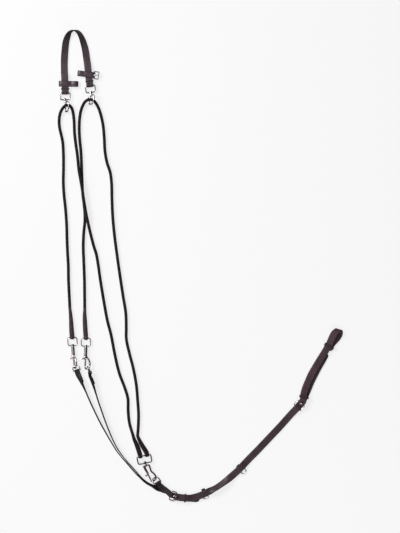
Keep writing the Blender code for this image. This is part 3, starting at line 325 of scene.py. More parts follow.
def braid(name, dark, light, deep, rough=0.78, fleck=0.5):
    """Braided cord: dark yarns with lighter flecks, and painted shade in the low places between the
    strands and along the yarns.
    """
    n = Nodes(name)
    where = n.coords()
    lift = n.attribute("lift")
    strand = n.attribute("strand")
    fibre = n.attribute("fibre", "Vector")
    yarn = n.add("TexWave", wave_type="BANDS", bands_direction="X")
    yarn.inputs["Scale"].default_value = 2.3
    yarn.inputs["Distortion"].default_value = 1.2
    yarn.inputs["Detail"].default_value = 1.0
    n.link(fibre, yarn.inputs["Vector"])
    patch = n.noise(where, 130.0, 3.0, 0.6)
    spot = n.noise(where, 520.0, 2.0, 0.6)
    colour = n.mix(n.ramp(patch, 0.35, 0.7), dark, light)
    bright = n.math("MULTIPLY", n.ramp(spot, 0.52, 0.74), fleck)
    bright = n.math("MULTIPLY", bright, n.math("ADD", n.math("MULTIPLY", strand, 0.6), 0.4))
    colour = n.mix(bright, colour, tuple(min(1.0, c * 2.6) for c in light))
    # Painted shade: the grooves along the yarns and the low places between strands go towards the
    # deep colour.
    colour = n.mix(n.math("MULTIPLY", n.ramp(yarn.outputs[1], 0.0, 0.6, 1.0, 0.0), 0.35),
                   colour, deep)
    colour = n.mix(n.ramp(lift, 0.10, 0.72, 0.92, 0.0), colour, deep)
    n.link(colour, n.shader.inputs["Base Color"])
    n.link(n.ramp(spot, 0.2, 0.8, rough + 0.1, rough - 0.08), n.shader.inputs["Roughness"])
    height = n.math("ADD", n.math("MULTIPLY", yarn.outputs[1], 0.6),
                    n.math("MULTIPLY", spot, 0.4))
    normal = n.bump(height, 0.00022, 0.8)
    normal = n.bump(lift, 0.0006, 0.6, normal)
    n.link(normal, n.shader.inputs["Normal"])
    n.shader.inputs["Specular IOR Level"].default_value = 0.22
    n.shader.inputs["Sheen Weight"].default_value = 0.12
    n.shader.inputs["Sheen Roughness"].default_value = 0.5
    return n.made


def metal(name, bright, dull, rough=0.13, tarnish=0.35):
    """Nickel plate on cast metal: soft casting waves, fine scratches and a little
    dirt and tarnish in patches."""
    n = Nodes(name)
    where = n.coords()
    patch = n.noise(where, 120.0, 4.0, 0.6)
    small = n.noise(where, 700.0, 3.0, 0.6)
    stretch = n.add("Mapping")
    stretch.inputs["Scale"].default_value = (1.0, 0.12, 1.0)
    n.link(where, stretch.inputs["Vector"])
    scratch = n.noise(stretch.outputs[0], 2600.0, 2.0, 0.6)
    point = n.add("NewGeometry").outputs["Pointiness"]
    colour = n.mix(n.math("MULTIPLY", n.ramp(patch, 0.50, 0.80), tarnish), bright, dull)
    colour = n.mix(n.ramp(point, 0.40, 0.49, 0.55, 0.0), colour, tuple(c * 0.45 for c in dull))
    n.link(colour, n.shader.inputs["Base Color"])
    n.shader.inputs["Metallic"].default_value = 1.0
    gloss = n.math("ADD", n.ramp(patch, 0.3, 0.8, rough, rough + 0.12),
                   n.math("MULTIPLY", n.ramp(scratch, 0.5, 0.8), 0.10))
    n.link(gloss, n.shader.inputs["Roughness"])
    normal = n.bump(patch, 0.00035, 0.30)
    normal = n.bump(n.math("ADD", small, n.math("MULTIPLY", scratch, 0.5)), 0.00005, 0.5, normal)
    n.link(normal, n.shader.inputs["Normal"])
    return n.made


def thread(name, base, rough=0.6):
    n = Nodes(name)
    where = n.coords()
    twist = n.add("TexWave", wave_type="BANDS", bands_direction="DIAGONAL")
    twist.inputs["Scale"].default_value = 1400.0
    n.link(where, twist.inputs["Vector"])
    patch = n.noise(where, 260.0, 2.0, 0.6)
    colour = n.mix(n.ramp(patch, 0.3, 0.7), tuple(c * 0.62 for c in base), base)
    n.link(colour, n.shader.inputs["Base Color"])
    n.link(n.ramp(patch, 0.2, 0.8, rough - 0.1, rough + 0.15), n.shader.inputs["Roughness"])
    n.link(n.bump(twist.outputs[1], 0.00006, 0.7), n.shader.inputs["Normal"])
    return n.made


LEATHER = leather("strap_leather", (0.0420, 0.0235, 0.0300), (0.0735, 0.0435, 0.0530),
                  (0.0075, 0.0050, 0.0058))
# Lighter copy of the strap leather for the girth strap: painted light, making up for its lying
# further from the key light.
GIRTH_PAINTED_LIGHTER = leather("girth_leather_painted_light", (0.063, 0.0335, 0.0430), (0.110, 0.0620, 0.0770),
                (0.0090, 0.0056, 0.0066))
# Darker copy of the strap leather for the yoke strap: painted shade, where its end runs beneath the
# chest strap.
YOKE_PAINTED_DARKER = leather("yoke_leather_painted_shade", (0.0270, 0.0160, 0.0208), (0.0480, 0.0305, 0.0372),
               (0.0066, 0.0042, 0.0050))
# Lighter copy of the strap leather for the poll strap: painted light for the way light falls on that
# end.
POLL_PAINTED_LIGHTER = leather("poll_leather_painted_light", (0.062, 0.040, 0.053), (0.104, 0.074, 0.095),
               (0.0090, 0.0056, 0.0068))
# Lighter copy of the strap leather for the browband loops: painted light, like the poll strap's.
BAND_PAINTED_LIGHTER = leather("band_leather_painted_light", (0.068, 0.041, 0.056), (0.118, 0.077, 0.100),
               (0.0080, 0.0052, 0.0060), 0.33)
# Much darker copy of the strap leather for the fork straps lying on edge: partly their dark dyed
# edges seen from above, partly painted shade.
FORK_PAINTED_DARKER = leather("fork_leather_painted_shade", (0.0100, 0.0062, 0.0078), (0.0190, 0.0122, 0.0148),
               (0.0030, 0.0019, 0.0022), 0.50)
CORD = braid("cord_braid", (0.0140, 0.0076, 0.0096), (0.0262, 0.0150, 0.0184),
             (0.0030, 0.0020, 0.0024))
# Lighter copy of the cord braid for the fork splices: painted light; the chest splices keep the
# cord's own colour.
SPLICE_PAINTED_LIGHTER = braid("splice_braid_painted_light", (0.062, 0.035, 0.048), (0.108, 0.067, 0.086),
               (0.0110, 0.0075, 0.0086), 0.55, 0.35)
NICKEL = metal("nickel_plate", (0.78, 0.72, 0.73), (0.44, 0.34, 0.34))
# Darker copy of the nickel for the chest snap and the browband buckle frame: painted shade standing
# for their dark reflections, with more tarnish in patches.
NICKEL_PAINTED_DARK = metal("nickel_painted_dark", (0.25, 0.20, 0.205), (0.11, 0.08, 0.082), 0.20, 0.6)
STEEL = metal("spring_wire", (0.55, 0.55, 0.56), (0.35, 0.34, 0.33), 0.3)
THREAD = thread("waxed_thread", (0.19, 0.155, 0.150))


# -------------------------------------------------------------- mesh building
def link(name, mesh, surface, matrix=None):
    mesh.name = name
    piece = bpy.data.objects.new(name, mesh)
    SCENE.collection.objects.link(piece)
    if matrix is not None:
        piece.matrix_world = matrix
    mesh.materials.clear()
    if surface is not None:
        mesh.materials.append(surface)
    return piece


def smooth(piece, angle=42.0):
    mesh = piece.data
    mesh.polygons.foreach_set("use_smooth", [True] * len(mesh.polygons))
    mesh.set_sharp_from_angle(angle=math.radians(angle))
    mesh.update()
    return piece


def as_mesh(piece):
    """The piece with its modifiers applied, as a plain mesh object."""
    bpy.context.view_layer.update()
    graph = bpy.context.evaluated_depsgraph_get()
    mesh = bpy.data.meshes.new_from_object(piece.evaluated_get(graph))
    weld = bmesh.new()
    weld.from_mesh(mesh)
    bmesh.ops.remove_doubles(weld, verts=weld.verts, dist=1e-6)
    bmesh.ops.recalc_face_normals(weld, faces=weld.faces)
    weld.to_mesh(mesh)
    weld.free()
    name, place = piece.name, piece.matrix_world.copy()
    surface = piece.data.materials[0] if len(piece.data.materials) else None
    bpy.data.objects.remove(piece, do_unlink=True)
    return link(name, mesh, surface, place)


def loft(name, rings, surface, closed=False, attributes=None, caps=True):
    """A skin over rings of points, each ring closed. attributes holds values in the
    same (ring, point) layout."""
    rings = np.asarray(rings, float)
    count, around = rings.shape[:2]
    verts = rings.reshape(-1, 3).tolist()
    faces = []
    for i in range(count if closed else count - 1):
        a, b = i * around, ((i + 1) % count) * around
        for j in range(around):
            k = (j + 1) % around
            faces.append((a + j, a + k, b + k, b + j))
    if caps and not closed:
        for ring, turn in ((0, -1), (count - 1, 1)):
            hub = len(verts)
            verts.append(rings[ring].mean(0).tolist())
            for j in range(around):
                k = (j + 1) % around
                a, b = ring * around + j, ring * around + k
                faces.append((hub, b, a) if turn < 0 else (hub, a, b))
    mesh = bpy.data.meshes.new(name)
    mesh.from_pydata(verts, [], faces)
    for key, values in (attributes or {}).items():
        values = np.asarray(values, float)
        if values.ndim == 2:
            full = values.reshape(-1)
            full = np.concatenate([full, np.full(len(verts) - len(full), full.mean())])
            made = mesh.attributes.new(key, "FLOAT", "POINT")
            made.data.foreach_set("value", full.astype(np.float32))
        else:
            full = values.reshape(-1, 3)
            full = np.vstack([full, np.zeros((len(verts) - len(full), 3))])
            made = mesh.attributes.new(key, "FLOAT_VECTOR", "POINT")
            made.data.foreach_set("vector", full.astype(np.float32).ravel())
    fix = bmesh.new()
    fix.from_mesh(mesh)
    bmesh.ops.recalc_face_normals(fix, faces=fix.faces)
    fix.to_mesh(mesh)
    fix.free()
    return smooth(link(name, mesh, surface), 55.0)


def arr(vectors):
    return np.array([tuple(v) for v in vectors], float)


def unit(a):
    return a / np.maximum(np.linalg.norm(a, axis=-1, keepdims=True), 1e-12)


def soften(values, rounds):
    for _ in range(rounds):
        mid = values.copy()
        mid[1:-1] = 0.25 * values[:-2] + 0.5 * values[1:-1] + 0.25 * values[2:]
        values = mid
    return values


def section(width, thickness, crease=2.2, depth=0.26):
    """A strap's section in millimetres: x, y, edge share and flesh share."""
    half, h = width / 2, thickness / 2
    r = min(1.05, 0.36 * thickness)
    xs = [half - r, half - crease + 0.42, half - crease, half - crease - 0.42,
          half - crease - 1.5, half * 0.45, half * 0.15]
    top = []
    for x in xs + [-x for x in xs[::-1]]:
        y = h + 0.10 * (1 - (x / half) ** 2)
        if abs(abs(x) - (half - crease)) < 0.01:
            y -= depth
        elif abs(abs(x) - (half - crease)) < 0.5:
            y -= 0.02
        top.append((x, y, max(0.0, (abs(x) - (half - r - 0.9)) / 0.9), 0.0))
    right, left = [], []
    for k in range(1, 4):
        a = math.radians(90 - 90 * k / 4)
        right.append((half - r + r * math.cos(a), h - r + r * math.sin(a), 1.0, 0.0))
    right = [(half - r + r * math.cos(math.radians(d)), h - r + r * math.sin(math.radians(d)),
              1.0, 0.0) for d in (68, 45, 22)]
    if h - r > 0.15:
        right += [(half, h - r - 0.05, 1.0, 0.3), (half, -(h - r) + 0.05, 1.0, 0.7)]
    right += [(half - r + r * math.cos(math.radians(d)), -(h - r) - r * math.sin(math.radians(d)),
               1.0, 1.0) for d in (22, 45, 68)]
    bottom = []
    for x in xs + [-x for x in xs[::-1]]:
        bottom.append((x, -h - 0.04 * (1 - (x / half) ** 2),
                       max(0.0, (abs(x) - (half - r - 0.5)) / 0.5), 1.0))
    left = [(-x, y, e, f) for x, y, e, f in right]
    # top runs from +x to -x, then down the left side, back along the bottom, up the right.
    return np.array(top + left + bottom[::-1] + right[::-1], float)


class Strap:
    """A strap's line with its directions, ready to be skinned and stitched."""

    def __init__(self, rows, width, thickness, soft=3, skew=False):
        places = soften(arr(r[0] for r in rows), soft)
        wide = unit(soften(arr(r[1] for r in rows), soft))
        factor = np.array([r[2] if len(r) > 2 else 1.0 for r in rows])
        kept = [0]
        for i in range(1, len(places)):
            if np.linalg.norm(places[i] - places[kept[-1]]) > 0.25 * MM:
                kept.append(i)
        self.c, wide, self.f = places[kept], wide[kept], factor[kept]
        travel = unit(np.gradient(self.c, axis=0))
        self.n = unit(np.cross(travel, wide))
        self.w = wide if skew else unit(np.cross(self.n, travel))
        self.t = travel
        self.run = np.concatenate(
            [[0], np.cumsum(np.linalg.norm(np.diff(self.c, axis=0), axis=1))]) / MM
        self.width, self.thickness = width, thickness

    def skin(self, name, surface, crease=2.2, depth=0.26, wave=0.12, seed=0.0, dark=()):
        """dark lists (from, to, share) along the strap where shade is painted in: the faces there are
        mixed towards the edge colour.
        """
        shape = section(self.width, self.thickness, crease, depth)
        rings, edges, flesh = [], [], []
        for i in range(len(self.c)):
            x = shape[:, 0] * self.f[i]
            sway = noise.noise(Vector((self.run[i] * 0.035, seed, 3.1))) * 0.20
            ring = (self.c[i] + np.outer(x + sway * np.sign(x) * (np.abs(x) / (self.width / 2)),
                                         self.w[i]) * MM
                    + np.outer(shape[:, 1], self.n[i]) * MM)
            lump = np.array([noise.noise(Vector((self.run[i] * 0.11, q * 0.16, seed + 7.7)))
                             for q in shape[:, 0]]) * wave
            ring = ring + np.outer(lump, self.n[i]) * MM
            rings.append(ring)
            # Painted shade: inside each dark span the edge share is raised, so the leather's faces
            # take the edge colour there.
            painted_shade = 0.0
            for low, high, share in dark:
                painted_shade = max(painted_shade, share * ease((self.run[i] - low) / 4.0) * ease(
                    (high - self.run[i]) / 4.0))
            patchy = [painted_shade * (0.86 + 0.5 * noise.noise(Vector((self.run[i] * 0.22, q * 0.3, 9.1))))
                      for q in shape[:, 0]]
            edges.append(np.maximum(shape[:, 2], patchy))
            flesh.append(shape[:, 3])
        # A rounded end at each cut.
        for end in (0, -1):
            first = rings[end]
            mid = self.c[end]
            out = -self.t[end] if end == 0 else self.t[end]
            extra = []
            for step, share in ((0.42, 0.93), (0.62, 0.78)):
                spread = first - mid
                across = np.outer(spread @ self.w[end], self.w[end])
                normal = np.outer(spread @ self.n[end], self.n[end])
                extra.append(mid + across * (1 - (1 - share) * 0.25) + normal * share
                             + out * step * MM)
            if end == 0:
                rings = extra[::-1] + rings
            else:
                rings = rings + extra
            for _ in extra:
                if end == 0:
                    edges.insert(0, np.ones(len(shape)))
                    flesh.insert(0, shape[:, 3])
                else:
                    edges.append(np.ones(len(shape)))
                    flesh.append(shape[:, 3])
        return loft(name, rings, surface, attributes={"edge": edges, "flesh": flesh})

    def place(self, run, x, sign, lift=0.0):
        """A point and its directions on one of the strap's faces."""
        def take(a):
            return np.array([np.interp(run, self.run, a[:, k]) for k in range(3)])
        n, w, t = unit(take(self.n)), unit(take(self.w)), unit(take(self.t))
        return (take(self.c) + w * x * MM + n * sign * (self.thickness / 2 + lift) * MM,
                n * sign, t, w)

    def row(self, x, sign, low, high, pitch=3.1, lift=0.10):
        """Stitches along the strap, x from its middle, on the face of the sign."""
        made = []
        count = max(1, int(round((high - low) / pitch)))
        for k in range(count):
            point, n, t, w = self.place(low + (high - low) * (k + 0.5) / count, x, sign, lift)
            made.append((point, n, t))
        return made

    def cross(self, run, sign, half, pitch=2.9, lift=0.10):
        """Stitches across the strap."""
        made = []
        count = max(1, int(round(2 * half / pitch)))
        for k in range(count):
            point, n, t, w = self.place(run, -half + 2 * half * (k + 0.5) / count, sign, lift)
            made.append((point, n, w))
        return made


def stitches(name, spots, length=2.15, radius=0.30, body="root"):
    """Short rounded thread stitches, each bedded in the leather at both ends."""
    verts, faces = [], []
    sides = 6
    profile = [(-0.5, 0.25), (-0.40, 0.75), (-0.18, 1.0), (0.18, 1.0), (0.40, 0.75), (0.5, 0.25)]
    for point, n, t in spots:
        point, n, t = np.array(point), unit(np.array(n)), unit(np.array(t))
        w = unit(np.cross(n, t))
        base = len(verts)
        for along, size in profile:
            sink = -0.32 * (2 * abs(along)) ** 2
            for k in range(sides):
                a = 2 * math.pi * k / sides
                verts.append(tuple(point + t * along * length * MM
                                   + (n * (math.sin(a) * size * radius + sink)
                                      + w * math.cos(a) * size * radius) * MM))
        for i in range(len(profile) - 1):
            for k in range(sides):
                a, b = base + i * sides + k, base + i * sides + (k + 1) % sides
                faces.append((a, b, b + sides, a + sides))
        faces.append(tuple(base + k for k in range(sides))[::-1])
        faces.append(tuple(base + (len(profile) - 1) * sides + k for k in range(sides)))
    mesh = bpy.data.meshes.new(name)
    mesh.from_pydata(verts, [], faces)
    fix = bmesh.new()
    fix.from_mesh(mesh)
    bmesh.ops.recalc_face_normals(fix, faces=fix.faces)
    fix.to_mesh(mesh)
    fix.free()
    piece = smooth(link(name, mesh, THREAD), 80.0)
    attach(piece, body)
    return piece


def done(piece, body, slot, *nodes):
    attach(piece, body)
    if nodes:
        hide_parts(*nodes)
    return piece


def fine(points, step, cyclic=False):
    """Even, smooth samples through the points (metres in, metres out)."""
    rows = [(p[0] / GRID, p[1] / GRID, p[2] / MM) for p in points]
    even = smooth_path(rows, step)
    return [Vector((a * GRID, b * GRID, c * MM)) for a, b, c in even]


def wire(name, points, radius, surface, matrix=None, cyclic=False, radii=None, sides=5):
    curve = bpy.data.curves.new(name, "CURVE")
    curve.dimensions = "3D"
    curve.bevel_depth = radius * MM
    curve.bevel_resolution = sides
    curve.use_fill_caps = not cyclic
    spline = curve.splines.new("POLY")
    spline.points.add(len(points) - 1)
    for i, (slot, point) in enumerate(zip(spline.points, points)):
        slot.co = (*point, 1.0)
        if radii is not None:
            slot.radius = radii[i]
    spline.use_cyclic_u = cyclic
    piece = bpy.data.objects.new(name, curve)
    SCENE.collection.objects.link(piece)
    if matrix is not None:
        piece.matrix_world = matrix
    if surface is not None:
        curve.materials.append(surface)
    return smooth(as_mesh(piece), 50.0)


def rounded_wire(name, points, radius, surface, matrix=None, radii=None):
    """An open wire with domed ends."""
    points = [Vector(p) for p in points]
    radii = list(radii) if radii is not None else [1.0] * len(points)
    a, b = (points[0] - points[1]).normalized(), (points[-1] - points[-2]).normalized()
    ra, rb = radii[0] * radius, radii[-1] * radius
    head = [(points[0] + a * ra * MM * s, radii[0] * f) for s, f in
            ((0.98, 0.20), (0.85, 0.52), (0.60, 0.80), (0.30, 0.95))]
    tail = [(points[-1] + b * rb * MM * s, radii[-1] * f) for s, f in
            ((0.30, 0.95), (0.60, 0.80), (0.85, 0.52), (0.98, 0.20))]
    full = head + list(zip(points, radii)) + tail
    return wire(name, [p for p, _ in full], radius, surface, matrix, radii=[r for _, r in full])


def rod(name, radius, low, high, matrix, count=40):
    mesh = bpy.data.meshes.new(name)
    stick = bmesh.new()
    bmesh.ops.create_cone(stick, cap_ends=True, segments=count, radius1=radius * MM,
                          radius2=radius * MM, depth=(high - low) * MM)
    bmesh.ops.translate(stick, verts=stick.verts, vec=(0, 0, (low + high) / 2 * MM))
    stick.to_mesh(mesh)
    stick.free()
    return link(name, mesh, None, matrix)


def box(name, size, matrix, bevel=0.0):
    mesh = bpy.data.meshes.new(name)
    cube = bmesh.new()
    bmesh.ops.create_cube(cube, size=1.0)
    for corner in cube.verts:
        corner.co = Vector([c * s * MM for c, s in zip(corner.co, size)])
    if bevel:
        bmesh.ops.bevel(cube, geom=list(cube.edges), offset=bevel * MM, segments=3,
                        profile=0.5, affect="EDGES")
    cube.to_mesh(mesh)
    cube.free()
    return link(name, mesh, None, matrix)


def turned(name, profile, matrix, steps=48):
    """A profile of (radius, height) points turned round its local Z."""
    mesh = bpy.data.meshes.new(name)
    shape = bmesh.new()
    rings = []
    for r, z in profile:
        if r < 1e-6:
            rings.append([shape.verts.new((0, 0, z * MM))])
        else:
            rings.append([shape.verts.new((r * MM * math.cos(2 * math.pi * k / steps),
                                           r * MM * math.sin(2 * math.pi * k / steps), z * MM))
                          for k in range(steps)])
    for a, b in zip(rings, rings[1:]):
        for k in range(steps):
            m = (k + 1) % steps
            corners = [a[k % len(a)], a[m % len(a)], b[m % len(b)], b[k % len(b)]]
            distinct = []
            for c in corners:
                if c not in distinct:
                    distinct.append(c)
            if len(distinct) > 2:
                shape.faces.new(distinct)
    for ring in (rings[0], rings[-1]):
        if len(ring) > 1:
            shape.faces.new(ring)
    bmesh.ops.recalc_face_normals(shape, faces=shape.faces)
    shape.to_mesh(mesh)
    shape.free()
    return link(name, mesh, None, matrix)


def combine(piece, other, operation):
    """Boolean of two pieces, applied at once; the second one is used up."""
    change = piece.modifiers.new(operation.lower(), "BOOLEAN")
    change.operation = operation
    change.solver = "EXACT"
    change.object = other
    made = as_mesh(piece)
    bpy.data.objects.remove(other, do_unlink=True)
    return made


def cast(piece, voxel, rounds, surface=None):
    """Blends a piece's seams as a casting's are: remeshed, then softened."""
    fuse = piece.modifiers.new("fuse", "REMESH")
    fuse.mode = "VOXEL"
    fuse.voxel_size = voxel * MM
    fuse.use_smooth_shade = True
    soft = piece.modifiers.new("soft", "SMOOTH")
    soft.factor = 0.5
    soft.iterations = rounds
    made = as_mesh(piece)
    made.data.materials.clear()
    made.data.materials.append(surface or NICKEL)
    return smooth(made, 75.0)


# ------------------------------------------------------------ camera and cords
FLOOR_Z = CORD_D / 2 + 0.15
cord_left_rows = [
    (69.9, 307, FLOOR_Z), (69.5, 299, FLOOR_Z), (68.6, 280, FLOOR_Z), (68.4, 266, FLOOR_Z),
    (67.7, 254, FLOOR_Z), (67.1, 240, FLOOR_Z), (66.7, 225, FLOOR_Z), (65.5, 208, FLOOR_Z),
    (64.2, 196, FLOOR_Z), (63.4, 183, FLOOR_Z), (63.6, 168, FLOOR_Z), (63.5, 154, FLOOR_Z),
    (62.8, 142.5, FLOOR_Z), (61.3, 135, FLOOR_Z), (59.8, 128.5, FLOOR_Z),
    (59.2, 121.0, FLOOR_Z), (60.0, 114.6, 6.0), (61.8, 110.2, 10.2), (64.1, 107.2, 13.2),
    (66.6, 105.7, 12.9), (69.2, 105.6, 10.2), (71.3, 107.4, 7.2), (72.7, 110.8, 5.2),
    (73.5, 115.0, FLOOR_Z), (74.2, 122, FLOOR_Z), (74.6, 133, FLOOR_Z), (75.9, 144.5, FLOOR_Z),
    (77.3, 154, FLOOR_Z), (78.1, 161.5, 5.6), (79.0, 170, 9.4), (80.7, 179.5, 13.0),
    (82.2, 188, 14.0), (83.5, 197, 14.0), (85.0, 206.5, 13.7), (86.6, 215.5, 12.4),
    (88.0, 222, 9.6), (89.5, 229, 6.0), (91.4, 237, 4.6), (93.9, 246.5, FLOOR_Z),
    (96.3, 254, FLOOR_Z), (98.2, 264.5, FLOOR_Z), (100.1, 278, FLOOR_Z), (104.0, 302, FLOOR_Z),
    (107.6, 321.4, FLOOR_Z), (110.9, 334, FLOOR_Z), (115.2, 356, FLOOR_Z),
    (119.3, 373, FLOOR_Z), (125.0, 388.3, FLOOR_Z), (127.9, 398.5, FLOOR_Z),
    (128.2, 411, FLOOR_Z), (129.6, 423.5, FLOOR_Z), (132.6, 433.8, FLOOR_Z)]
cord_right_rows = [
    (84.8, 308, FLOOR_Z), (84.7, 298, FLOOR_Z), (84.5, 280, FLOOR_Z), (83.8, 261, FLOOR_Z),
    (83.3, 247, FLOOR_Z), (83.8, 233, FLOOR_Z), (84.9, 222, FLOOR_Z), (84.9, 213, FLOOR_Z),
    (84.0, 204, FLOOR_Z), (82.8, 194, FLOOR_Z), (82.2, 182, FLOOR_Z), (81.7, 168, FLOOR_Z),
    (81.0, 152, FLOOR_Z), (79.7, 138.5, FLOOR_Z), (79.3, 127, FLOOR_Z), (79.8, 117.5, FLOOR_Z),
    (81.0, 110.8, 4.9), (82.9, 105.8, 7.8), (85.3, 102.0, 12.2), (88.0, 100.2, 14.8),
    (90.4, 99.8, 14.2), (92.6, 100.2, 11.2), (94.6, 101.6, 8.2), (96.6, 104.3, 5.8),
    (98.6, 108.2, 4.7),
    (100.6, 114.0, FLOOR_Z), (103.0, 124.6, FLOOR_Z), (104.3, 138, FLOOR_Z),
    (105.0, 151, FLOOR_Z), (107.0, 162.5, FLOOR_Z), (110.2, 172.4, FLOOR_Z),
    (111.6, 183, FLOOR_Z), (112.0, 199, FLOOR_Z), (112.8, 217, FLOOR_Z), (114.6, 236, FLOOR_Z),
    (117.2, 256, FLOOR_Z), (119.9, 275, FLOOR_Z), (123.1, 296, FLOOR_Z), (125.8, 313, FLOOR_Z),
    (126.3, 327, FLOOR_Z), (126.4, 339, FLOOR_Z), (129.6, 354, FLOOR_Z),
    (133.0, 367, FLOOR_Z), (136.3, 384.5, FLOOR_Z), (137.7, 400.5, FLOOR_Z),
    (138.6, 414.5, FLOOR_Z), (138.3, 426.5, FLOOR_Z), (137.8, 434.0, FLOOR_Z)]


def braided(name, points, wide, tall, lift, surface, strands=8, pitch=3.9, around=32,
            domed=False):
    """A braided skin round a line: strands cross over and under each other. wide
    and tall are half sizes in millimetres, lift how far a strand stands out."""
    c = arr(points)
    travel = unit(np.gradient(c, axis=0))
    side = unit(np.cross(travel, np.array([0, 0, 1.0])))
    up = unit(np.cross(side, travel))
    run = np.concatenate([[0], np.cumsum(np.linalg.norm(np.diff(c, axis=0), axis=1))]) / MM
    theta = 2 * math.pi * np.arange(around) / around - math.pi / 2
    wide, tall, lift = (np.broadcast_to(np.asarray(v, float), (len(c),)) for v in (wide, tall, lift))
    rings, lifts, strand, fibre = [], [], [], []
    for i in range(len(c)):
        a = strands * (theta + math.pi / 2) / (2 * math.pi) + run[i] / pitch
        b = strands * (theta + math.pi / 2) / (2 * math.pi) - run[i] / pitch
        parity = (np.floor(a) + np.floor(b)) % 2
        fa, fb = a - np.floor(a), b - np.floor(b)
        over = np.where(parity < 0.5, fa, fb)
        along = np.where(parity < 0.5, fb, fa)
        height = np.sqrt(np.maximum(0, np.sin(math.pi * over))) * (
            0.50 + 0.50 * np.sin(math.pi * along))
        h = (height - 0.62) * lift[i]
        rings.append(c[i] + (np.outer(np.cos(theta) * (wide[i] + h), side[i])
                             + np.outer(np.sin(theta) * (tall[i] + h), up[i])) * MM)
        lifts.append(height)
        strand.append(parity)
        turn = np.where(parity < 0.5, 1.0, -1.0)
        reach = theta * 4.3
        fibre.append(np.stack([reach * 0.75 - turn * run[i] * 0.66,
                               reach * 0.66 + turn * run[i] * 0.75, np.zeros(around)], 1))
    return loft(name, rings, surface,
                attributes={"lift": lifts, "strand": strand, "fibre": fibre})


def lay_cord(name, rows):
    step = 0.9
    points = [at(*row[:3]) for row in smooth_path(rows, step)]
    ends = [(points[0] - points[4]).normalized(), (points[-1] - points[-5]).normalized()]
    points = ([points[0] + ends[0] * k * 0.9 * MM for k in (2, 1)] + points
              + [points[-1] + ends[1] * k * 0.9 * MM for k in (1, 2)])
    piece = braided(name, points, CORD_D / 2 - 0.05, CORD_D / 2 - 0.05, 0.62, CORD)
    return piece, points


camera_data = bpy.data.cameras.new("camera")
camera = bpy.data.objects.new("camera", camera_data)
SCENE.collection.objects.link(camera)
camera_data.lens = 200.0
camera_data.sensor_width = 36.0
camera_data.clip_end = 60.0
camera.location = ((200.0 - ORIGIN_U) * GRID, (ORIGIN_V - 266.5) * GRID,
                   533 * GRID * 200.0 / 36.0)
camera.rotation_euler = (0.0, 0.0, 0.0)
SCENE.camera = camera

left_rope, left_points = lay_cord("cord_left_braid", cord_left_rows)
right_rope, right_points = lay_cord("cord_right_braid", cord_right_rows)
for piece, points, node, length in ((left_rope, left_points, "cord_left", 1.56),
                                    (right_rope, right_points, "cord_right", 1.59)):
    done(piece, "root", "cord", node)

# ----------------------------------------------------------------- poll strap
poll_rows = [
    (90.0, 85.4, 10.15, 0), (89.4, 81.0, 7.5, 0), (88.6, 74.5, 7.4, 0), (87.8, 66.0, 7.3, 2),
    (86.9, 60.0, 4.6, 6), (85.4, 50.0, 5.4, 14), (83.4, 42.4, 8.0, 30), (81.2, 36.8, 9.6, 46),
    (78.2, 32.3, 10.2, 62), (74.4, 30.7, 10.2, 84), (70.6, 32.1, 10.2, 108),
    (68.0, 36.2, 9.2, 136), (66.2, 41.6, 6.6, 156), (65.2, 49.0, 4.4, 168), (64.4, 60.0, 2.6, 177),
    (64.4, 70.0, 2.4, 180),
    (64.8, 78.0, 4.0, 180), (65.1, 84.0, 4.1, 180), (65.3, 88.5, 3.6, 180), (65.3, 92.9, 3.05, 180)]
poll_line = stations(poll_rows, STRAP_T, STRAP_W)
right_back, right_bar = folded(poll_line, 0, -1, 58.0, STRAP_T, EYE_WIRE)
left_back, left_bar = folded(poll_line, -1, -1, 54.0, STRAP_T, EYE_WIRE)
poll = Strap(right_back[::-1] + plain(poll_line) + left_back, STRAP_W, STRAP_T)
total = poll.run[-1]
# The poll strap gets painted shade over both ends, round the folds and under the keepers.
done(poll.skin("poll_strap_leather", POLL_PAINTED_LIGHTER, seed=1.0, dark=[
    (54.0, 80.0, 0.86), (total - 84.0, total - 50.0, 0.86)]), "root", "leather", "poll_strap")
spots = []
for x in (-7.6, 7.6):
    spots += poll.row(x, 1, 66.0, 122.0)          # right end, seen from above
    spots += poll.row(x, 1, 2.5, 50.0)            # its turned-back layer, below
    spots += poll.row(x, -1, total - 50.0, total - 2.5)
    spots += poll.row(x, -1, total - 114.0, total - 62.0)
for low in (1.8,):
    spots += poll.cross(low, 1, 7.0)
    spots += poll.cross(total - low, -1, 7.0)
stitches("poll_strap_stitches", spots)


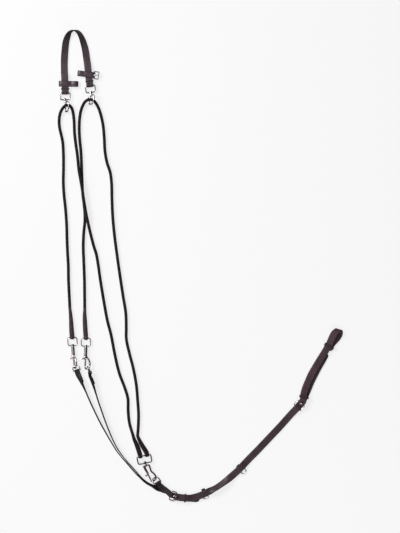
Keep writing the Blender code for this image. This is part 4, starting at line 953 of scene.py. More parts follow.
def band(name, loop, half, deep, surface, matrix, crease=True):
    """A leather band swept round a closed line, its edges rounded. half is half its
    thickness and deep half its width, in millimetres."""
    line = np.array(loop, float)
    ahead, behind = np.roll(line, -1, 0), np.roll(line, 1, 0)
    d = unit(ahead - behind)
    normal = np.stack([d[:, 1], -d[:, 0]], 1)
    r = min(0.6, half * 0.7)
    shape = []
    for sx, sy, start in ((1, 1, 0), (-1, 1, 90), (-1, -1, 180), (1, -1, 270)):
        for k in range(4):
            a = math.radians(start + 90 * k / 3)
            shape.append((sx * (half - r) + r * math.cos(a), sy * (deep - r) + r * math.sin(a)))
        if crease and (sx, sy) == (1, -1):
            pass
    grown = []
    for i, p in enumerate(shape):
        q = shape[(i + 1) % len(shape)]
        grown.append(p)
        if abs(p[0] - q[0]) < 1e-6 and abs(p[1] - q[1]) > deep:
            sign = 1 if p[0] > 0 else -1
            heading = 1 if q[1] > p[1] else -1
            edge_y = deep - 1.5
            marks = [(-edge_y - 0.35, 0), (-edge_y, 0.18), (-edge_y + 0.35, 0), (0, -0.05),
                     (edge_y - 0.35, 0), (edge_y, 0.18), (edge_y + 0.35, 0)]
            if deep < 3.2:
                marks = [(-deep * 0.45, 0), (0, -0.03), (deep * 0.45, 0)]
            for y, dip in (marks if heading > 0 else marks[::-1]):
                grown.append((p[0] - sign * dip, y))
    shape = np.array(grown)
    rings, edges = [], []
    for i in range(len(line)):
        x = line[i, 0] + normal[i, 0] * shape[:, 0]
        y = line[i, 1] + normal[i, 1] * shape[:, 0]
        rings.append(np.stack([x, y, shape[:, 1]], 1) * MM)
        edges.append(np.clip((np.abs(shape[:, 1]) - (deep - 0.8)) / 0.6, 0, 1))
    piece = loft(name, rings, surface, closed=True,
                 attributes={"edge": edges, "flesh": [np.zeros(len(shape))] * len(rings)})
    piece.matrix_world = matrix
    return piece


def closed_line(points, per=8):
    found = []
    count = len(points)
    for i in range(count):
        p0, p1, p2, p3 = (np.array(points[(i + k - 1) % count], float) for k in range(4))
        for k in range(per):
            t = k / per
            found.append(tuple(0.5 * (2 * p1 + (p2 - p0) * t + (2 * p0 - 5 * p1 + 4 * p2 - p3)
                                      * t * t + (3 * p1 - p0 - 3 * p2 + p3) * t ** 3)))
    return found


def evenly(loop, step):
    """Even samples of a closed line."""
    line = np.array(list(loop) + [loop[0]], float)
    run = np.concatenate([[0], np.cumsum(np.linalg.norm(np.diff(line, axis=0), axis=1))])
    even = np.linspace(0, run[-1], int(run[-1] / step), endpoint=False)
    return np.stack([np.interp(even, run, line[:, k]) for k in range(2)], 1)


def keeper(name, node, body, centre, width, wide, low, high, depth, thick):
    mid = round_rect(-wide / 2 - thick / 2, wide / 2 + thick / 2, low - thick / 2,
                     high + thick / 2, 1.5, 1.5, 6)
    matrix = axes(centre, width, UP, width.cross(UP))
    piece = band(name, evenly(mid, 0.9), thick / 2, depth / 2, LEATHER, matrix)
    return done(piece, body, "leather", node)


spot = near(poll_line, 65.2, 88.9)
keeper("poll_keeper_left_band", "poll_keeper_left", "root", at(65.2, 88.9), flat(spot[2]),
       21.8, 1.4, 8.6, 3.6, 1.2)
spot = near(poll_line, 89.5, 81.3)
keeper("poll_keeper_right_band", "poll_keeper_right", "root", at(89.5, 81.3), flat(spot[2]),
       21.0, 2.0, 9.8, 3.6, 1.2)

left_loop = closed_line([
    (-14.0, 1.15), (0, 1.15), (14, 1.15), (28, 1.3), (35.0, 3.0), (37.6, 7.4), (35.0, 11.6),
    (30.0, 13.4), (24.0, 12.6), (18.6, 10.6), (13.0, 10.9), (6.0, 12.2), (-4.0, 12.2),
    (-12.0, 11.2), (-15.4, 8.6), (-16.6, 5.6), (-16.2, 2.6)])
across = plan(1, 0.02)
left_matrix = axes(at(65.0, 83.9), across, UP, across.cross(UP))
done(band("browband_loop_left_band", evenly(left_loop, 0.9), BAND_T / 2, BAND_H / 2, BAND_PAINTED_LIGHTER,
          left_matrix), "root", "leather", "browband_loop_left")
right_loop = closed_line([
    (-28.0, 1.3), (-14.0, 1.2), (0, 1.2), (11.8, 1.2), (16.2, 3.4), (17.6, 7.2), (15.6, 11.0),
    (10.6, 12.2), (2.0, 12.4), (-8.0, 12.2), (-14.0, 11.6), (-20.0, 12.6), (-26.0, 12.6),
    (-29.8, 10.4), (-31.2, 7.0), (-30.6, 3.4)])
band_dir = plan(1, 0.12)
band_at = at(88.8, 74.6)
band_bar = band_at + band_dir * 14.2 * MM + UP * 7.2 * MM
band_along = band_dir.cross(UP)
right_matrix = axes(band_at, band_dir, UP, band_dir.cross(UP))
right_band = band("browband_loop_right_band", evenly(right_loop, 0.9), BAND_T / 2, BAND_H / 2,
                  BAND_PAINTED_LIGHTER, right_matrix)
right_band = combine(right_band, box("browband_slot", (12, 4.6, 14), axes(
    band_bar + band_dir * 3.6 * MM, band_dir, -band_along, UP), 0.8), "DIFFERENCE")
done(smooth(right_band, 40), "root", "leather", "browband_loop_right")
frame_in = axes(band_bar, -band_along, -band_dir, UP)
done(wire("browband_frame_wire",
          [(x * MM, y * MM, 0) for x, y in round_rect(-10.2, 10.2, -14.4, 0, 2.6, 2.0, 8)],
          1.2, NICKEL_PAINTED_DARK, frame_in, cyclic=True), "browband_frame", "nickel", "browband_buckle_frame")
spots = []
for offset in (-5.9, 5.9):
    for x, y in ((-9.5, 13.15), (-6.3, 13.2), (-3.1, 13.22), (0.1, 13.22), (3.3, 13.2), (6.5, 13.1),
                 (9.6, 12.65)):
        point = left_matrix @ Vector((x * MM, (y + 0.16) * MM, offset * MM))
        spots.append((tuple(point), (0, 0, 1), tuple(across)))
    for x, y in ((-24.6, 13.6), (-21.4, 13.55), (-18.2, 13.2)):
        point = right_matrix @ Vector((x * MM, (y + 0.16) * MM, offset * MM))
        spots.append((tuple(point), (0, 0, 1), tuple(band_dir)))
stitches("browband_stitches", spots)


def tongue(name, node, body, bar, forward, up, wrap, points, radius):
    start = math.atan2(points[0][1], points[0][0])
    path = []
    for k in range(25):
        angle = start + math.radians(292) * (24 - k) / 24
        path.append((wrap * math.cos(angle), wrap * math.sin(angle)))
    path += points[1:]
    side = forward.cross(up)
    line = [Vector((x * MM, 0, y * MM)) for x, y in path]
    line = line[:24] + fine(line[24:], 0.7)
    radii = [1.0] * len(line)
    for i in range(len(line)):
        away = (line[i] - line[-1]).length / MM
        radii[i] = 1.0 if away > 6 else 0.78 + 0.22 * away / 6
    piece = rounded_wire(name, line, radius, NICKEL, axes(bar, forward, -side, up), radii)
    return done(piece, body, "nickel", node)


tongue("browband_tongue_wire", "browband_buckle_tongue", "browband_tongue", band_bar, band_dir, UP,
       2.5, [(1.2, 2.2), (5.0, 3.3), (10.0, 2.9), (15.6, 2.45)], 0.95)


# ---------------------------------------------------------------- bolt snaps
def turn_about(axis, angle, direction):
    return Matrix.Rotation(math.radians(angle), 3, axis) @ direction


def bolt_snap(prefix, swivel, down, spine_side, eye_side, eye_dir, s):
    """One bolt snap, with its castings blended: eye, hook and thumb bolt."""
    # The chest snap takes the painted-dark copy of the nickel.
    plate = NICKEL_PAINTED_DARK if s is CHEST else NICKEL
    z_axis = -down
    x_axis = (spine_side - spine_side.dot(z_axis) * z_axis).normalized()
    place = axes(swivel, x_axis, z_axis.cross(x_axis), z_axis)
    ez = eye_dir
    ex = (eye_side - eye_side.dot(ez) * ez).normalized()
    eye_place = axes(swivel, ex, ez.cross(ex), ez)
    wide, tall = s["eye_half"], s["eye_tall"]
    ring = [(x * MM, 0, z * MM) for x, z in
            round_rect(-wide, wide, 0, tall, s["eye_low"], s["eye_high"], 8)]
    eye = wire(prefix + "_eye_cast", ring, s["wire"], NICKEL, eye_place, cyclic=True)
    top = s["boss_top"]
    boss = turned(prefix + "_boss", [(0, -2.3), (s["boss"] - 0.5, -2.3), (s["boss"], -1.7),
                                     (s["boss"], top - 0.6), (s["boss"] - 0.5, top), (0, top)], place)
    eye = combine(eye, boss, "UNION")
    eye = combine(eye, rod(prefix + "_hole", s["stem"] + 0.3, -6, 6, place), "DIFFERENCE")
    done(cast(eye, 0.36, 3, plate), "root", "nickel", prefix + "_eye")

    br, bl = s["barrel_r"], s["barrel_len"]
    barrel = place @ Matrix.Translation((s["barrel_x"] * MM, 0, 0))
    cap = s["boss_top"] + GAP
    low = -2.3 - GAP - s["neck"]
    head = [(0, cap + 1.7), (s["boss"] - 2.2, cap + 1.6), (s["boss"] - 1.2, cap + 1.2),
            (s["boss"] - 1.0, cap), (s["stem"], cap), (s["stem"], low)]
    tank = [(br - 0.8, low), (br, low - 1.1), (br, -bl + 4.2), (br + 0.35, -bl + 3.6),
            (br + 0.35, -bl + 2.2), (br, -bl + 1.6), (br, -bl + 0.6), (br - 0.6, -bl), (0, -bl)]
    if s["barrel_x"]:
        body = turned(prefix + "_hook_cast", head + [
            (s["boss"] - 1.2, low), (s["boss"] - 0.8, low - 1.0), (s["boss"] - 0.8, low - 3.4),
            (0, low - 3.4)], place)
        body = combine(body, turned(prefix + "_tank", [(0, low)] + tank, barrel), "UNION")
    else:
        body = turned(prefix + "_hook_cast", head + tank, place)
    line = fine([Vector((x * MM, 0, z * MM)) for x, z in s["spine"]], 0.8)
    spine = rounded_wire(prefix + "_spine", line, s["spine_r"], None, place,
                         [1.0 if i < len(line) - 6 else 1.0 + 0.10 * math.sin(
                             math.pi * (len(line) - 1 - i) / 6) for i in range(len(line))])
    body = combine(body, spine, "UNION")
    body = combine(body, rod(prefix + "_bore", s["bolt_r"] + 0.35, -bl - 2, -s["bore_top"], barrel),
                   "DIFFERENCE")
    turn = Matrix.Rotation(math.radians(s["knob_turn"]), 4, "Z")
    slot = barrel @ turn @ Matrix.Translation(
        (-br * MM, 0, (-bl - 2 + s["travel"] / 2 + 1.5) * MM))
    body = combine(body, box(prefix + "_slot", (2 * br, 2 * s["knob_r"] + 0.9, s["travel"] + 5.4),
                             slot), "DIFFERENCE")
    done(cast(body, 0.36, 4, plate), prefix + "_body", "nickel", prefix + "_hook")

    top = s["bore_top"] + s["spring_len"] + 0.3
    r = s["bolt_r"]
    bolt = turned(prefix + "_bolt_cast", [
        (0, -top), (r - 0.4, -top), (r, -top - 0.4), (r, -s["bolt_tip"] + 0.9),
        (r - 0.3, -s["bolt_tip"] + 0.3), (r - 0.9, -s["bolt_tip"]), (0, -s["bolt_tip"])], barrel)
    level = -bl - s["knob_r"] - 0.6
    knob = barrel @ Matrix.Translation((0, 0, level * MM)) @ turn @ Matrix.Rotation(
        math.radians(-90), 4, "Y")
    out, head_r = s["knob_out"], s["knob_head"]
    stem = turned(prefix + "_knob", [
        (0, out), (head_r * 0.6, out - 0.08), (head_r * 0.92, out - 0.4), (head_r, out - 0.9),
        (head_r, out - 1.7), (head_r * 0.85, out - 2.3), (s["knob_r"], out - 2.9),
        (s["knob_r"], 0.4), (0, 0.4)], knob)
    bolt = combine(bolt, stem, "UNION")
    done(cast(bolt, 0.30, 3, plate), prefix + "_thumb_bolt", "nickel", prefix + "_bolt")
    return place


BIG = dict(eye_half=13.2, eye_tall=23.4, eye_low=5.6, eye_high=6.8, wire=1.6, boss=4.4, boss_top=2.4,
           stem=2.0, neck=0.0, barrel_x=0, barrel_r=4.7, barrel_len=34.0, bore_top=7.0,
           bolt_r=2.3, bolt_tip=57.3, spring_len=14.0, travel=9.0, knob_r=1.6,
           knob_out=10.2, knob_head=2.8, knob_turn=32, spine_r=2.5,
           spine=[(1.5, -28), (5.5, -33.5), (9.8, -39), (12.6, -46), (13.0, -54),
                  (11.0, -60.5), (6.4, -64.4), (1.8, -63.8), (0.0, -60.3)])
CHEST = dict(eye_half=20.0, eye_tall=21.4, eye_low=5.0, eye_high=4.0, wire=1.9, boss=4.4,
             boss_top=3.4, stem=2.0, neck=2.2, barrel_x=-8.0, barrel_r=3.4, barrel_len=31.0,
             bore_top=9.0, bolt_r=2.0, bolt_tip=49.3, spring_len=11.0, travel=7.5, knob_r=1.5,
             knob_out=8.6, knob_head=2.6, knob_turn=20, spine_r=2.5,
             spine=[(-8.0, -9.6), (-4.6, -8.1), (0.0, -7.7), (5.0, -8.2), (7.6, -11.4),
                    (6.4, -18), (5.2, -26), (5.8, -31.5), (8.6, -37), (10.2, -43.0),
                    (9.6, -49.0), (5.8, -53.8), (0.0, -55.4), (-5.2, -54.6), (-8.0, -52.3)])
SMALL = dict(eye_half=13.6, eye_tall=19.6, eye_low=3.6, eye_high=3.4, wire=1.75, boss=4.0,
            boss_top=2.4, stem=1.8, neck=0.0, barrel_x=0, barrel_r=3.4, barrel_len=14.4,
            bore_top=4.4, bolt_r=1.8, bolt_tip=29.6, spring_len=5.6, travel=3.2, knob_r=1.3,
            knob_out=7.2, knob_head=2.1, knob_turn=32, spine_r=2.1,
            spine=[(0.6, -5.6), (6.6, -6.0), (12.4, -8.0), (15.0, -13.6), (15.2, -21),
                   (13.4, -27.8), (8.8, -33.0), (3.4, -34.4), (0.2, -32.6)])


def hang_snap(prefix, bar, bar_dir, eye_down, down, roll, s, rise=0.0):
    eye_dir = -eye_down
    swivel = bar - eye_dir * s["eye_tall"] * MM
    along = (down + UP * rise).normalized()
    flat_side = UP.cross(along).normalized()
    spine = turn_about(along, -roll, flat_side)
    if spine.z < 0:
        spine = turn_about(along, roll, flat_side)
    return bolt_snap(prefix, swivel, along, spine, bar_dir, eye_dir, s)


left_frame = hang_snap("poll_snap_left", left_bar[0], left_bar[2], flat(left_bar[1]),
                       plan(0.04, 1), 50, SMALL, 0.02)
right_frame = hang_snap("poll_snap_right", right_bar[0], right_bar[2], flat(right_bar[1]),
                        plan(-0.14, 1), 42, SMALL, 0.02)
EYE_L, EYE_R = at(72.3, 337.3, 5.7), at(86.0, 338.0, 5.7)
CHEST_BAR = at(143.7, 455.7, 5.7)
CHEST_ALONG = plan(0.977, -0.215)
FORK_ACROSS_L, FORK_ACROSS_R = plan(1, -0.06), plan(1, 0.0)
fork_left = hang_snap("fork_snap_left", EYE_L, FORK_ACROSS_L, plan(0.06, 1), plan(0.075, 1),
                      57, BIG, 0.04)
fork_right = hang_snap("fork_snap_right", EYE_R, FORK_ACROSS_R, plan(-0.01, 1),
                       plan(-0.03, 1), 0, BIG, 0.085)
chest_frame = hang_snap("chest_snap", CHEST_BAR, CHEST_ALONG, plan(0.215, 0.977),
                        plan(0.454, 0.891), 17, CHEST, 0.085)


# -------------------------------------------------------------------- splices
def splice(name, node, cord_points, rows, bar, across, wire_r):
    """The spliced end of a cord: the braid swells over its tucked-back tail and closes round the
    snap's bar in a tight eye."""
    lead = (cord_points[0] - cord_points[4]).normalized()
    start = cord_points[0] - lead * 3.2 * MM
    shape = [(*grid_of(start), 4.45, 4.35), (*grid_of(start + lead * 6.0 * MM), 4.5, 4.32)] + rows
    even = smooth_path(shape, 0.8)
    points = [at(*row[:3]) for row in even]
    tail = (points[-1] - points[-3]).normalized()
    wide, tall = list(even[:, 3]), list(even[:, 4])
    a, b = wide[-1], tall[-1]
    for step, part in ((0.8, 0.99), (1.6, 0.94), (2.3, 0.85), (2.9, 0.71), (3.3, 0.52), (3.55, 0.28)):
        points.append(points[len(even) - 1] + tail * step * MM)
        wide.append(a * part)
        tall.append(b * part)
    run = np.linspace(0, 1, len(points))
    lift = 0.55 * (1 - 0.45 * np.clip((run - 0.1) / 0.3, 0, 1))
    # The fork splices take the lighter braid, painted light; the chest splices the cord's own braid.
    piece = braided(name, points, np.array(wide) - 0.12, np.array(tall) - 0.12, lift,
                    CORD if "chest" in name else SPLICE_PAINTED_LIGHTER,
                    strands=8, pitch=5.2, around=36)
    side = across.normalized()
    lie = axes(bar, side, UP.cross(side), UP) @ Matrix.Rotation(math.radians(90), 4, "Y")
    piece = combine(piece, rod(name + "_hole", wire_r + 0.35, -12, 12, lie, 24), "DIFFERENCE")
    return done(smooth(piece, 55), "root", "cord", node)


def cord_end(points, end):
    return points if end == 0 else points[::-1]


splice("splice_fork_left_braid", "splice_fork_left", cord_end(left_points, 0), [
    (70.5, 313, 4.6, 5.0, 4.5), (71.1, 320, 5.0, 6.0, 4.8), (71.6, 329, 5.4, 6.9, 5.2),
    (72.2, 336.4, 5.6, 7.2, 5.4), (72.35, 338.1, 5.7, 6.8, 5.4)], EYE_L, FORK_ACROSS_L, BIG["wire"])
splice("splice_fork_right_braid", "splice_fork_right", cord_end(right_points, 0), [
    (84.7, 313, 4.6, 5.2, 4.5), (84.9, 320, 5.0, 6.4, 4.8), (85.4, 330, 5.4, 6.9, 5.2),
    (85.9, 337.0, 5.6, 6.8, 5.4), (86.0, 338.8, 5.7, 6.4, 5.4)], EYE_R, FORK_ACROSS_R, BIG["wire"])
hole_l = CHEST_BAR - CHEST_ALONG * 9.7 * MM
hole_r = CHEST_BAR + CHEST_ALONG * 9.7 * MM
toward = plan(0.215, 0.977)
near_l, near_r = grid_of(hole_l - toward * 7 * MM), grid_of(hole_r - toward * 7 * MM)
past_l, past_r = grid_of(hole_l + toward * 1.8 * MM), grid_of(hole_r + toward * 1.8 * MM)
splice("splice_chest_left_braid", "splice_chest_left", cord_end(left_points, -1), [
    (134.3, 439.3, 4.8, 5.3, 4.6), (137.0, 445.4, 5.2, 6.6, 5.0), (*near_l, 6.9, 5.3),
    (*past_l, 6.4, 5.4)], hole_l, CHEST_ALONG, CHEST["wire"])
splice("splice_chest_right_braid", "splice_chest_right", cord_end(right_points, -1), [
    (139.2, 439.6, 4.8, 5.3, 4.6), (142.2, 445.4, 5.2, 6.6, 5.0), (*near_r, 6.9, 5.3),
    (*past_r, 6.4, 5.4)], hole_r, CHEST_ALONG, CHEST["wire"])


# ------------------------------------------------------- rings, dees, buckles
def spot_in(place, x, z):
    return place @ Vector((x * MM, 0, z * MM))


def dee(name, node, body, bar, apex, across_dir, half, radius, low=1.8, high=7.5):
    side = across_dir.normalized()
    up = (apex - bar) - (apex - bar).dot(side) * side
    depth = up.length / MM
    up.normalize()
    points = [(x * MM, 0, z * MM) for x, z in round_rect(-half, half, 0, depth, low, high, 10)]
    return done(wire(name, points, radius, NICKEL, axes(bar, side, up.cross(side), up),
                     cyclic=True, sides=6), body, "nickel", node)


FORK_BAR_L, FORK_BAR_R = (77.1, 370.7, 5.6), (90.1, 371.6, 11.7)
fork_left_start = leaning(*FORK_BAR_L, 0.33, 0.94, 0, -1, FORK_T, 1.5)
fork_right_start = leaning(*FORK_BAR_R, 0.36, 0.93, 75, -1, FORK_T, 1.5)


def on_edge(lean, extra=0.0):
    a = math.radians(lean)
    return FORK_W / 2 * abs(math.sin(a)) + FORK_T / 2 * abs(math.cos(a)) + extra


def stacked(lean):
    """The same with room below for the other fork strap once it lies beneath."""
    return on_edge(lean, 0.25) + (FORK_T + GAP + 0.05) * max(0.0, -math.cos(math.radians(lean)))


fork_right_rows = [fork_right_start, (89.7, 376, 10.4, 71), (91.0, 378.8, 10.0, 67),
                   (93.2, 384.5, 9.2, 66)] + [
    (u, v, stacked(a), a) for u, v, a in (
        (95.1, 390.5, 75), (96.9, 396.5, 80), (98.8, 402.5, 80), (100.9, 408.5, 80),
        (105.1, 420.5, 81), (109.8, 432.5, 82), (112.4, 438.5, 83), (115.3, 444.5, 84),
        (118.8, 450.5, 84), (123.1, 456.5, 86), (128.1, 462.5, 89), (131.5, 466.2, 90),
        (135.5, 470.7, 90), (139.5, 475.3, 91), (143.5, 479.4, 92), (147.5, 482.5, 94),
        (151.5, 484.6, 98), (153.6, 485.6, 106), (155.8, 486.8, 126), (158.4, 488.1, 154),
        (161.4, 489.3, 178), (165.6, 491.0, 180))]
right_line = stations(fork_right_rows, FORK_T, FORK_W)
fork_left_rows = [fork_left_start, (78.2, 374.4, 8.3, 16), (80.0, 378.5, 9.2, 42),
                  (82.7, 384.5, 9.3, 65)] + [
    (u, v, on_edge(a, 0.12), a) for u, v, a in (
        (85.4, 390.5, 77), (88.0, 396.5, 80), (90.6, 402.5, 80), (93.4, 408.5, 80),
        (99.2, 420.5, 80), (102.4, 426.5, 80), (105.8, 432.5, 81), (109.2, 438.5, 82),
        (112.8, 444.5, 83), (116.5, 450.5, 84), (121.1, 456.5, 86), (126.5, 462.6, 89))]
left_line = stations(fork_left_rows, FORK_T, FORK_W)
side_start = min(range(len(right_line)), key=lambda i: (
    right_line[i][0] - at(131.5, 466.2)).length)
beside = right_line[side_start:]
joined_at = len(left_line)
before, after = left_line[-1], None
rest = []
for k, (place, travel, width, face) in enumerate(beside):
    along = (place - beside[0][0]).length / MM
    gap = FORK_T + GAP + 0.05 + 1.3 * (1 - ease((along - 22) / 20))
    rest.append((place + face * gap * MM, travel, width, face))
after = rest[0]
steps = max(1, int((after[0] - before[0]).length / (1.2 * MM)))
for k in range(1, steps):
    q = k / steps
    left_line.append((before[0].lerp(after[0], q), before[1].lerp(after[1], q).normalized(),
                      before[2].lerp(after[2], q).normalized(),
                      before[3].lerp(after[3], q).normalized()))
left_line += rest
fork_spots = []
for name, line, seed in (("fork_strap_left", left_line, 4.0), ("fork_strap_right", right_line, 5.0)):
    back, bar = folded(line, 0, -1, 37.0, FORK_T, 1.5)
    strap = Strap(back[::-1] + plain(line), FORK_W, FORK_T, 6)
    done(strap.skin(name + "_leather", FORK_PAINTED_DARKER, crease=1.7, seed=seed), "root", "leather", name)
    end = strap.run[-1]
    for x in (-4.7, 4.7):
        fork_spots += strap.row(x, 1, 48.0, end - 6.0, 3.3)
        fork_spots += strap.row(x, -1, 86.0, end - 6.0, 3.3)
        fork_spots += strap.row(x, 1, 3.0, 34.0, 3.3)
    if name.endswith("left"):
        dee("fork_dee_left_wire", "fork_dee_left", "fork_dee_left_swing", bar[0],
            spot_in(fork_left, 6.4, -59.2), bar[2], 9.8, 1.5)
    else:
        dee("fork_dee_right_wire", "fork_dee_right", "fork_dee_right_swing", bar[0],
            spot_in(fork_right, 5.8, -57.6), bar[2], 9.8, 1.5)
stitches("fork_strap_stitches", fork_spots, 2.2, 0.26)

yoke_start = leaning(158.2, 483.2, 10.6, 0.66, 0.75, -35, -1, STRAP_T, EYE_WIRE)
yoke_rows = [yoke_start, (159.9, 485.2, 12.2, -28), (161.9, 487.0, 11.0, -18),
             (164.4, 489.0, 9.3, -7), (167.3, 491.2, 8.4, 0), (169.4, 493.1, 8.4, 0),
             (170.55, 494.45, 8.5, 0), (171.2, 494.75, 8.05, 0), (173.1, 495.3, 4.9, 0),
             (174.8, 495.85, 2.0, 0), (175.6, 496.1, 1.62, 0), (179, 497.0, 1.62, 0),
             (182.4, 497.9, 2.6, 0), (185.4, 498.2, 2.9, 0), (188.4, 498.6, 2.5, 0),
             (192, 499.0, 1.62, 0), (199.3, 499.6, 1.62, 0)]
yoke_line = stations(yoke_rows, STRAP_T, YOKE_W)
yoke_back, yoke_bar = folded(yoke_line, 0, -1, 15.0, STRAP_T, EYE_WIRE)
chest_start = leaning(176, 496.5, HEEL_Z, 0.966, 0.22, 0, -1, STRAP_T, EYE_WIRE)
chest_rows = [
    chest_start, (178.2, 497.0, 10.6, 0), (181.4, 497.5, 9.3, 0), (184.9, 497.7, 9.7, 0),
    (187.6, 498.0, 9.0, 0), (190.6, 498.0, 6.4, 0), (194, 497.3, 5.0, 0),
    (198, 496.2, 5.2, 0), (201.5, 494.9, 6.5, 0), (204.6, 493.5, 6.6, 0), (208.0, 491.8, 6.9, 0),
    (210.4, 490.6, 7.3, -22), (213.4, 489.0, 7.4, -40), (217.0, 487.0, 7.1, -42),
    (222.0, 483.6, 7.0, -38), (226.5, 480.3, 6.2, -28), (230, 477.5, 4.4, -12),
    (234.4, 473.7, 3.6, 0), (237.6, 470.8, 6.2, 0), (240, 468.4, 6.6, 0),
    (242.4, 465.9, 6.2, 0), (245.4, 462.7, 3.4, 0), (249.5, 458.4, 1.7, 0),
    (258, 449.8, 1.6, 0), (268.5, 438.7, 1.6, 0), (280.5, 426.0, 1.6, 0), (288, 417.6, 1.6, 0),
    (292.3, 412.8, 3.6, 0), (295.6, 409.3, 7.6, 0), (297.4, 407.5, 8.5, 0),
    (297.8, 407.05, 8.05, 0), (299.2, 405.5, 4.9, 0), (300.4, 404.1, 2.1, 0),
    (301.1, 403.3, 1.65, 0), (302.8, 400.7, 2.7, 0), (304.9, 395.9, 2.9, 0),
    (307.7, 390.0, 2.0, 0), (311.0, 382.0, 1.6, 0), (318.7, 366.8, 1.6, 0),
    (323.4, 358.5, 1.6, 0), (326.2, 353.2, 1.6, 0)]
chest_line = stations(chest_rows, STRAP_T, STRAP_W)
chest_back, chest_bar = folded(chest_line, 0, -1, 29.0, STRAP_T, EYE_WIRE)
girth_start = leaning(301.2, 403.2, HEEL_Z, 0.66, -0.75, 0, -1, STRAP_T, EYE_WIRE)
girth_rows = [
    girth_start, (302.5, 401.7, 11.0, 0), (303.2, 399.6, 9.9, 0), (303.4, 397.2, 9.6, 0),
    (303.7, 394.3, 9.3, 0), (304.6, 390.5, 7.4, 0), (306.0, 386.5, 5.5, 0),
    (307.7, 382.5, 5.0, 0), (311.1, 374.8, 5.0, 0), (315.5, 367.0, 5.0, 0),
    (320.6, 358.6, 5.0, 0), (325.5, 350.8, 5.9, 0), (328.2, 346.0, 6.4, 0)]
# The girth loop: the end rolls over to the right and comes back beneath itself.
# Row: u, v, height and the direction across the strap.
loop_rows = [
    (329.6, 343.4, 7.0, -0.88, -0.47, 0), (331.1, 339.7, 8.4, -0.89, -0.46, 0),
    (332.8, 335.9, 10.6, -0.90, -0.44, 0), (334.9, 332.4, 12.6, -0.92, -0.40, 0),
    (336.8, 330.4, 13.0, -0.95, -0.32, 0), (338.1, 329.6, 11.4, -0.95, -0.30, 0),
    (338.9, 329.5, 8.2, -0.95, -0.30, 0), (339.4, 330.2, 4.8, -0.95, -0.30, 0),
    (339.5, 331.9, 2.6, -0.95, -0.31, 0), (339.1, 334.2, 1.9, -0.93, -0.37, 0),
    (337.7, 337.0, 1.8, -0.86, -0.51, 0), (335.3, 340.0, 1.8, -0.78, -0.62, 0),
    (332.5, 343.0, 2.4, -0.76, -0.65, 0), (330.0, 346.3, 2.7, -0.80, -0.60, 0),
    (328.3, 349.3, 2.5, -0.84, -0.54, 0)]
girth_line = stations(girth_rows, STRAP_T, STRAP_W)
girth_back, girth_bar = folded(girth_line, 0, -1, 28.0, STRAP_T, EYE_WIRE)


def buckle(prefix, tongue_body, bar):
    heel, forward = bar[0], -flat(bar[1])
    side = flat(bar[2])
    low = heel - forward * BUCKLE_LEN * MM
    low.z = FRONT_Z * MM
    run = (heel - low)
    length = run.length / MM
    run.normalize()
    points = [(x * MM, y * MM, 0) for x, y in
              round_rect(-BUCKLE_HALF, BUCKLE_HALF, -length, 0, 3.6, 2.0, 8)]
    done(wire(prefix + "_frame_wire", points, EYE_WIRE, NICKEL,
              axes(heel, side, run, side.cross(run)), cyclic=True, sides=6),
         "root", "nickel", prefix + "_frame")
    wrap, radius = EYE_WIRE + 0.35 + 1.3, 1.3
    angle = math.atan2(-wrap * 0.62, -wrap * 0.78)
    path = [(wrap * math.cos(angle - math.radians(282) * (30 - k) / 30),
             wrap * math.sin(angle - math.radians(282) * (30 - k) / 30)) for k in range(31)]
    tip = (-BUCKLE_LEN - 1.2, FRONT_Z - HEEL_Z - EYE_WIRE - radius - GAP)
    line = [Vector((x * MM, 0, z * MM)) for x, z in path + [(-8.0, -4.6), (-13.2, tip[1]), tip]]
    line = line[:30] + fine(line[30:], 0.7)
    radii = [1.0 if (p - line[-1]).length > 7 * MM else 0.80 + 0.20 * (
        (p - line[-1]).length / (7 * MM)) for p in line]
    across_dir = UP.cross(forward)
    lay = axes(heel, forward, across_dir, UP)
    done(rounded_wire(prefix + "_tongue_wire", line, radius, NICKEL, lay, radii),
         tongue_body, "nickel", prefix + "_tongue")
    reach = (forward * 0.92 + UP * 0.39).normalized()
    aim = axes(heel - forward * 8.4 * MM - UP * 4.75 * MM, across_dir, reach.cross(across_dir),
               reach)
    return aim, lay


hole_axis, slot_at = buckle("junction_buckle", "junction_tongue", chest_bar)
girth_axis, girth_slot = buckle("girth_buckle", "girth_tongue", girth_bar)
dee("chest_ring_wire", "chest_ring", "chest_ring_swing", yoke_bar[0],
    spot_in(chest_frame, 0.6, -49.6), yoke_bar[2], 11.7, 1.75, 2.0, 9.5)

yoke = Strap(yoke_back[::-1] + pointed(plain(yoke_line), 12.0), YOKE_W, STRAP_T)
piece = yoke.skin("yoke_strap_leather", YOKE_PAINTED_DARKER, seed=8.0)
piece = combine(piece, rod("yoke_hole", 1.85, -7, 9, hole_axis, 28), "DIFFERENCE")
done(smooth(piece, 50), "root", "leather", "yoke_strap")
spots = []
for x in (-5.6, 5.6):
    spots += yoke.row(x, 1, 24.0, 60.0)
    spots += yoke.row(x, 1, 2.0, 12.0)
spots += yoke.cross(60.5, 1, 5.0)
stitches("yoke_strap_stitches", spots)

chest = Strap(chest_back[::-1] + pointed(plain(chest_line), 7.0), STRAP_W, STRAP_T)
piece = chest.skin("chest_strap_leather", LEATHER, seed=11.0)
piece = combine(piece, box("chest_slot", (13.5, 5.0, 11.4), slot_at @ Matrix.Translation(
    (-0.2 * MM, 0, 0.5 * MM)), 1.2), "DIFFERENCE")
piece = combine(piece, rod("chest_hole", 1.85, -7, 9, girth_axis, 28), "DIFFERENCE")
done(smooth(piece, 50), "root", "leather", "chest_strap")
spots = []
for x in (-7.6, 7.6):
    spots += chest.row(x, 1, 50.0, 72.0)
    spots += chest.row(x, 1, 3.0, 24.0)
spots += chest.cross(2.0, 1, 6.8)
spots += chest.cross(72.6, 1, 6.8)


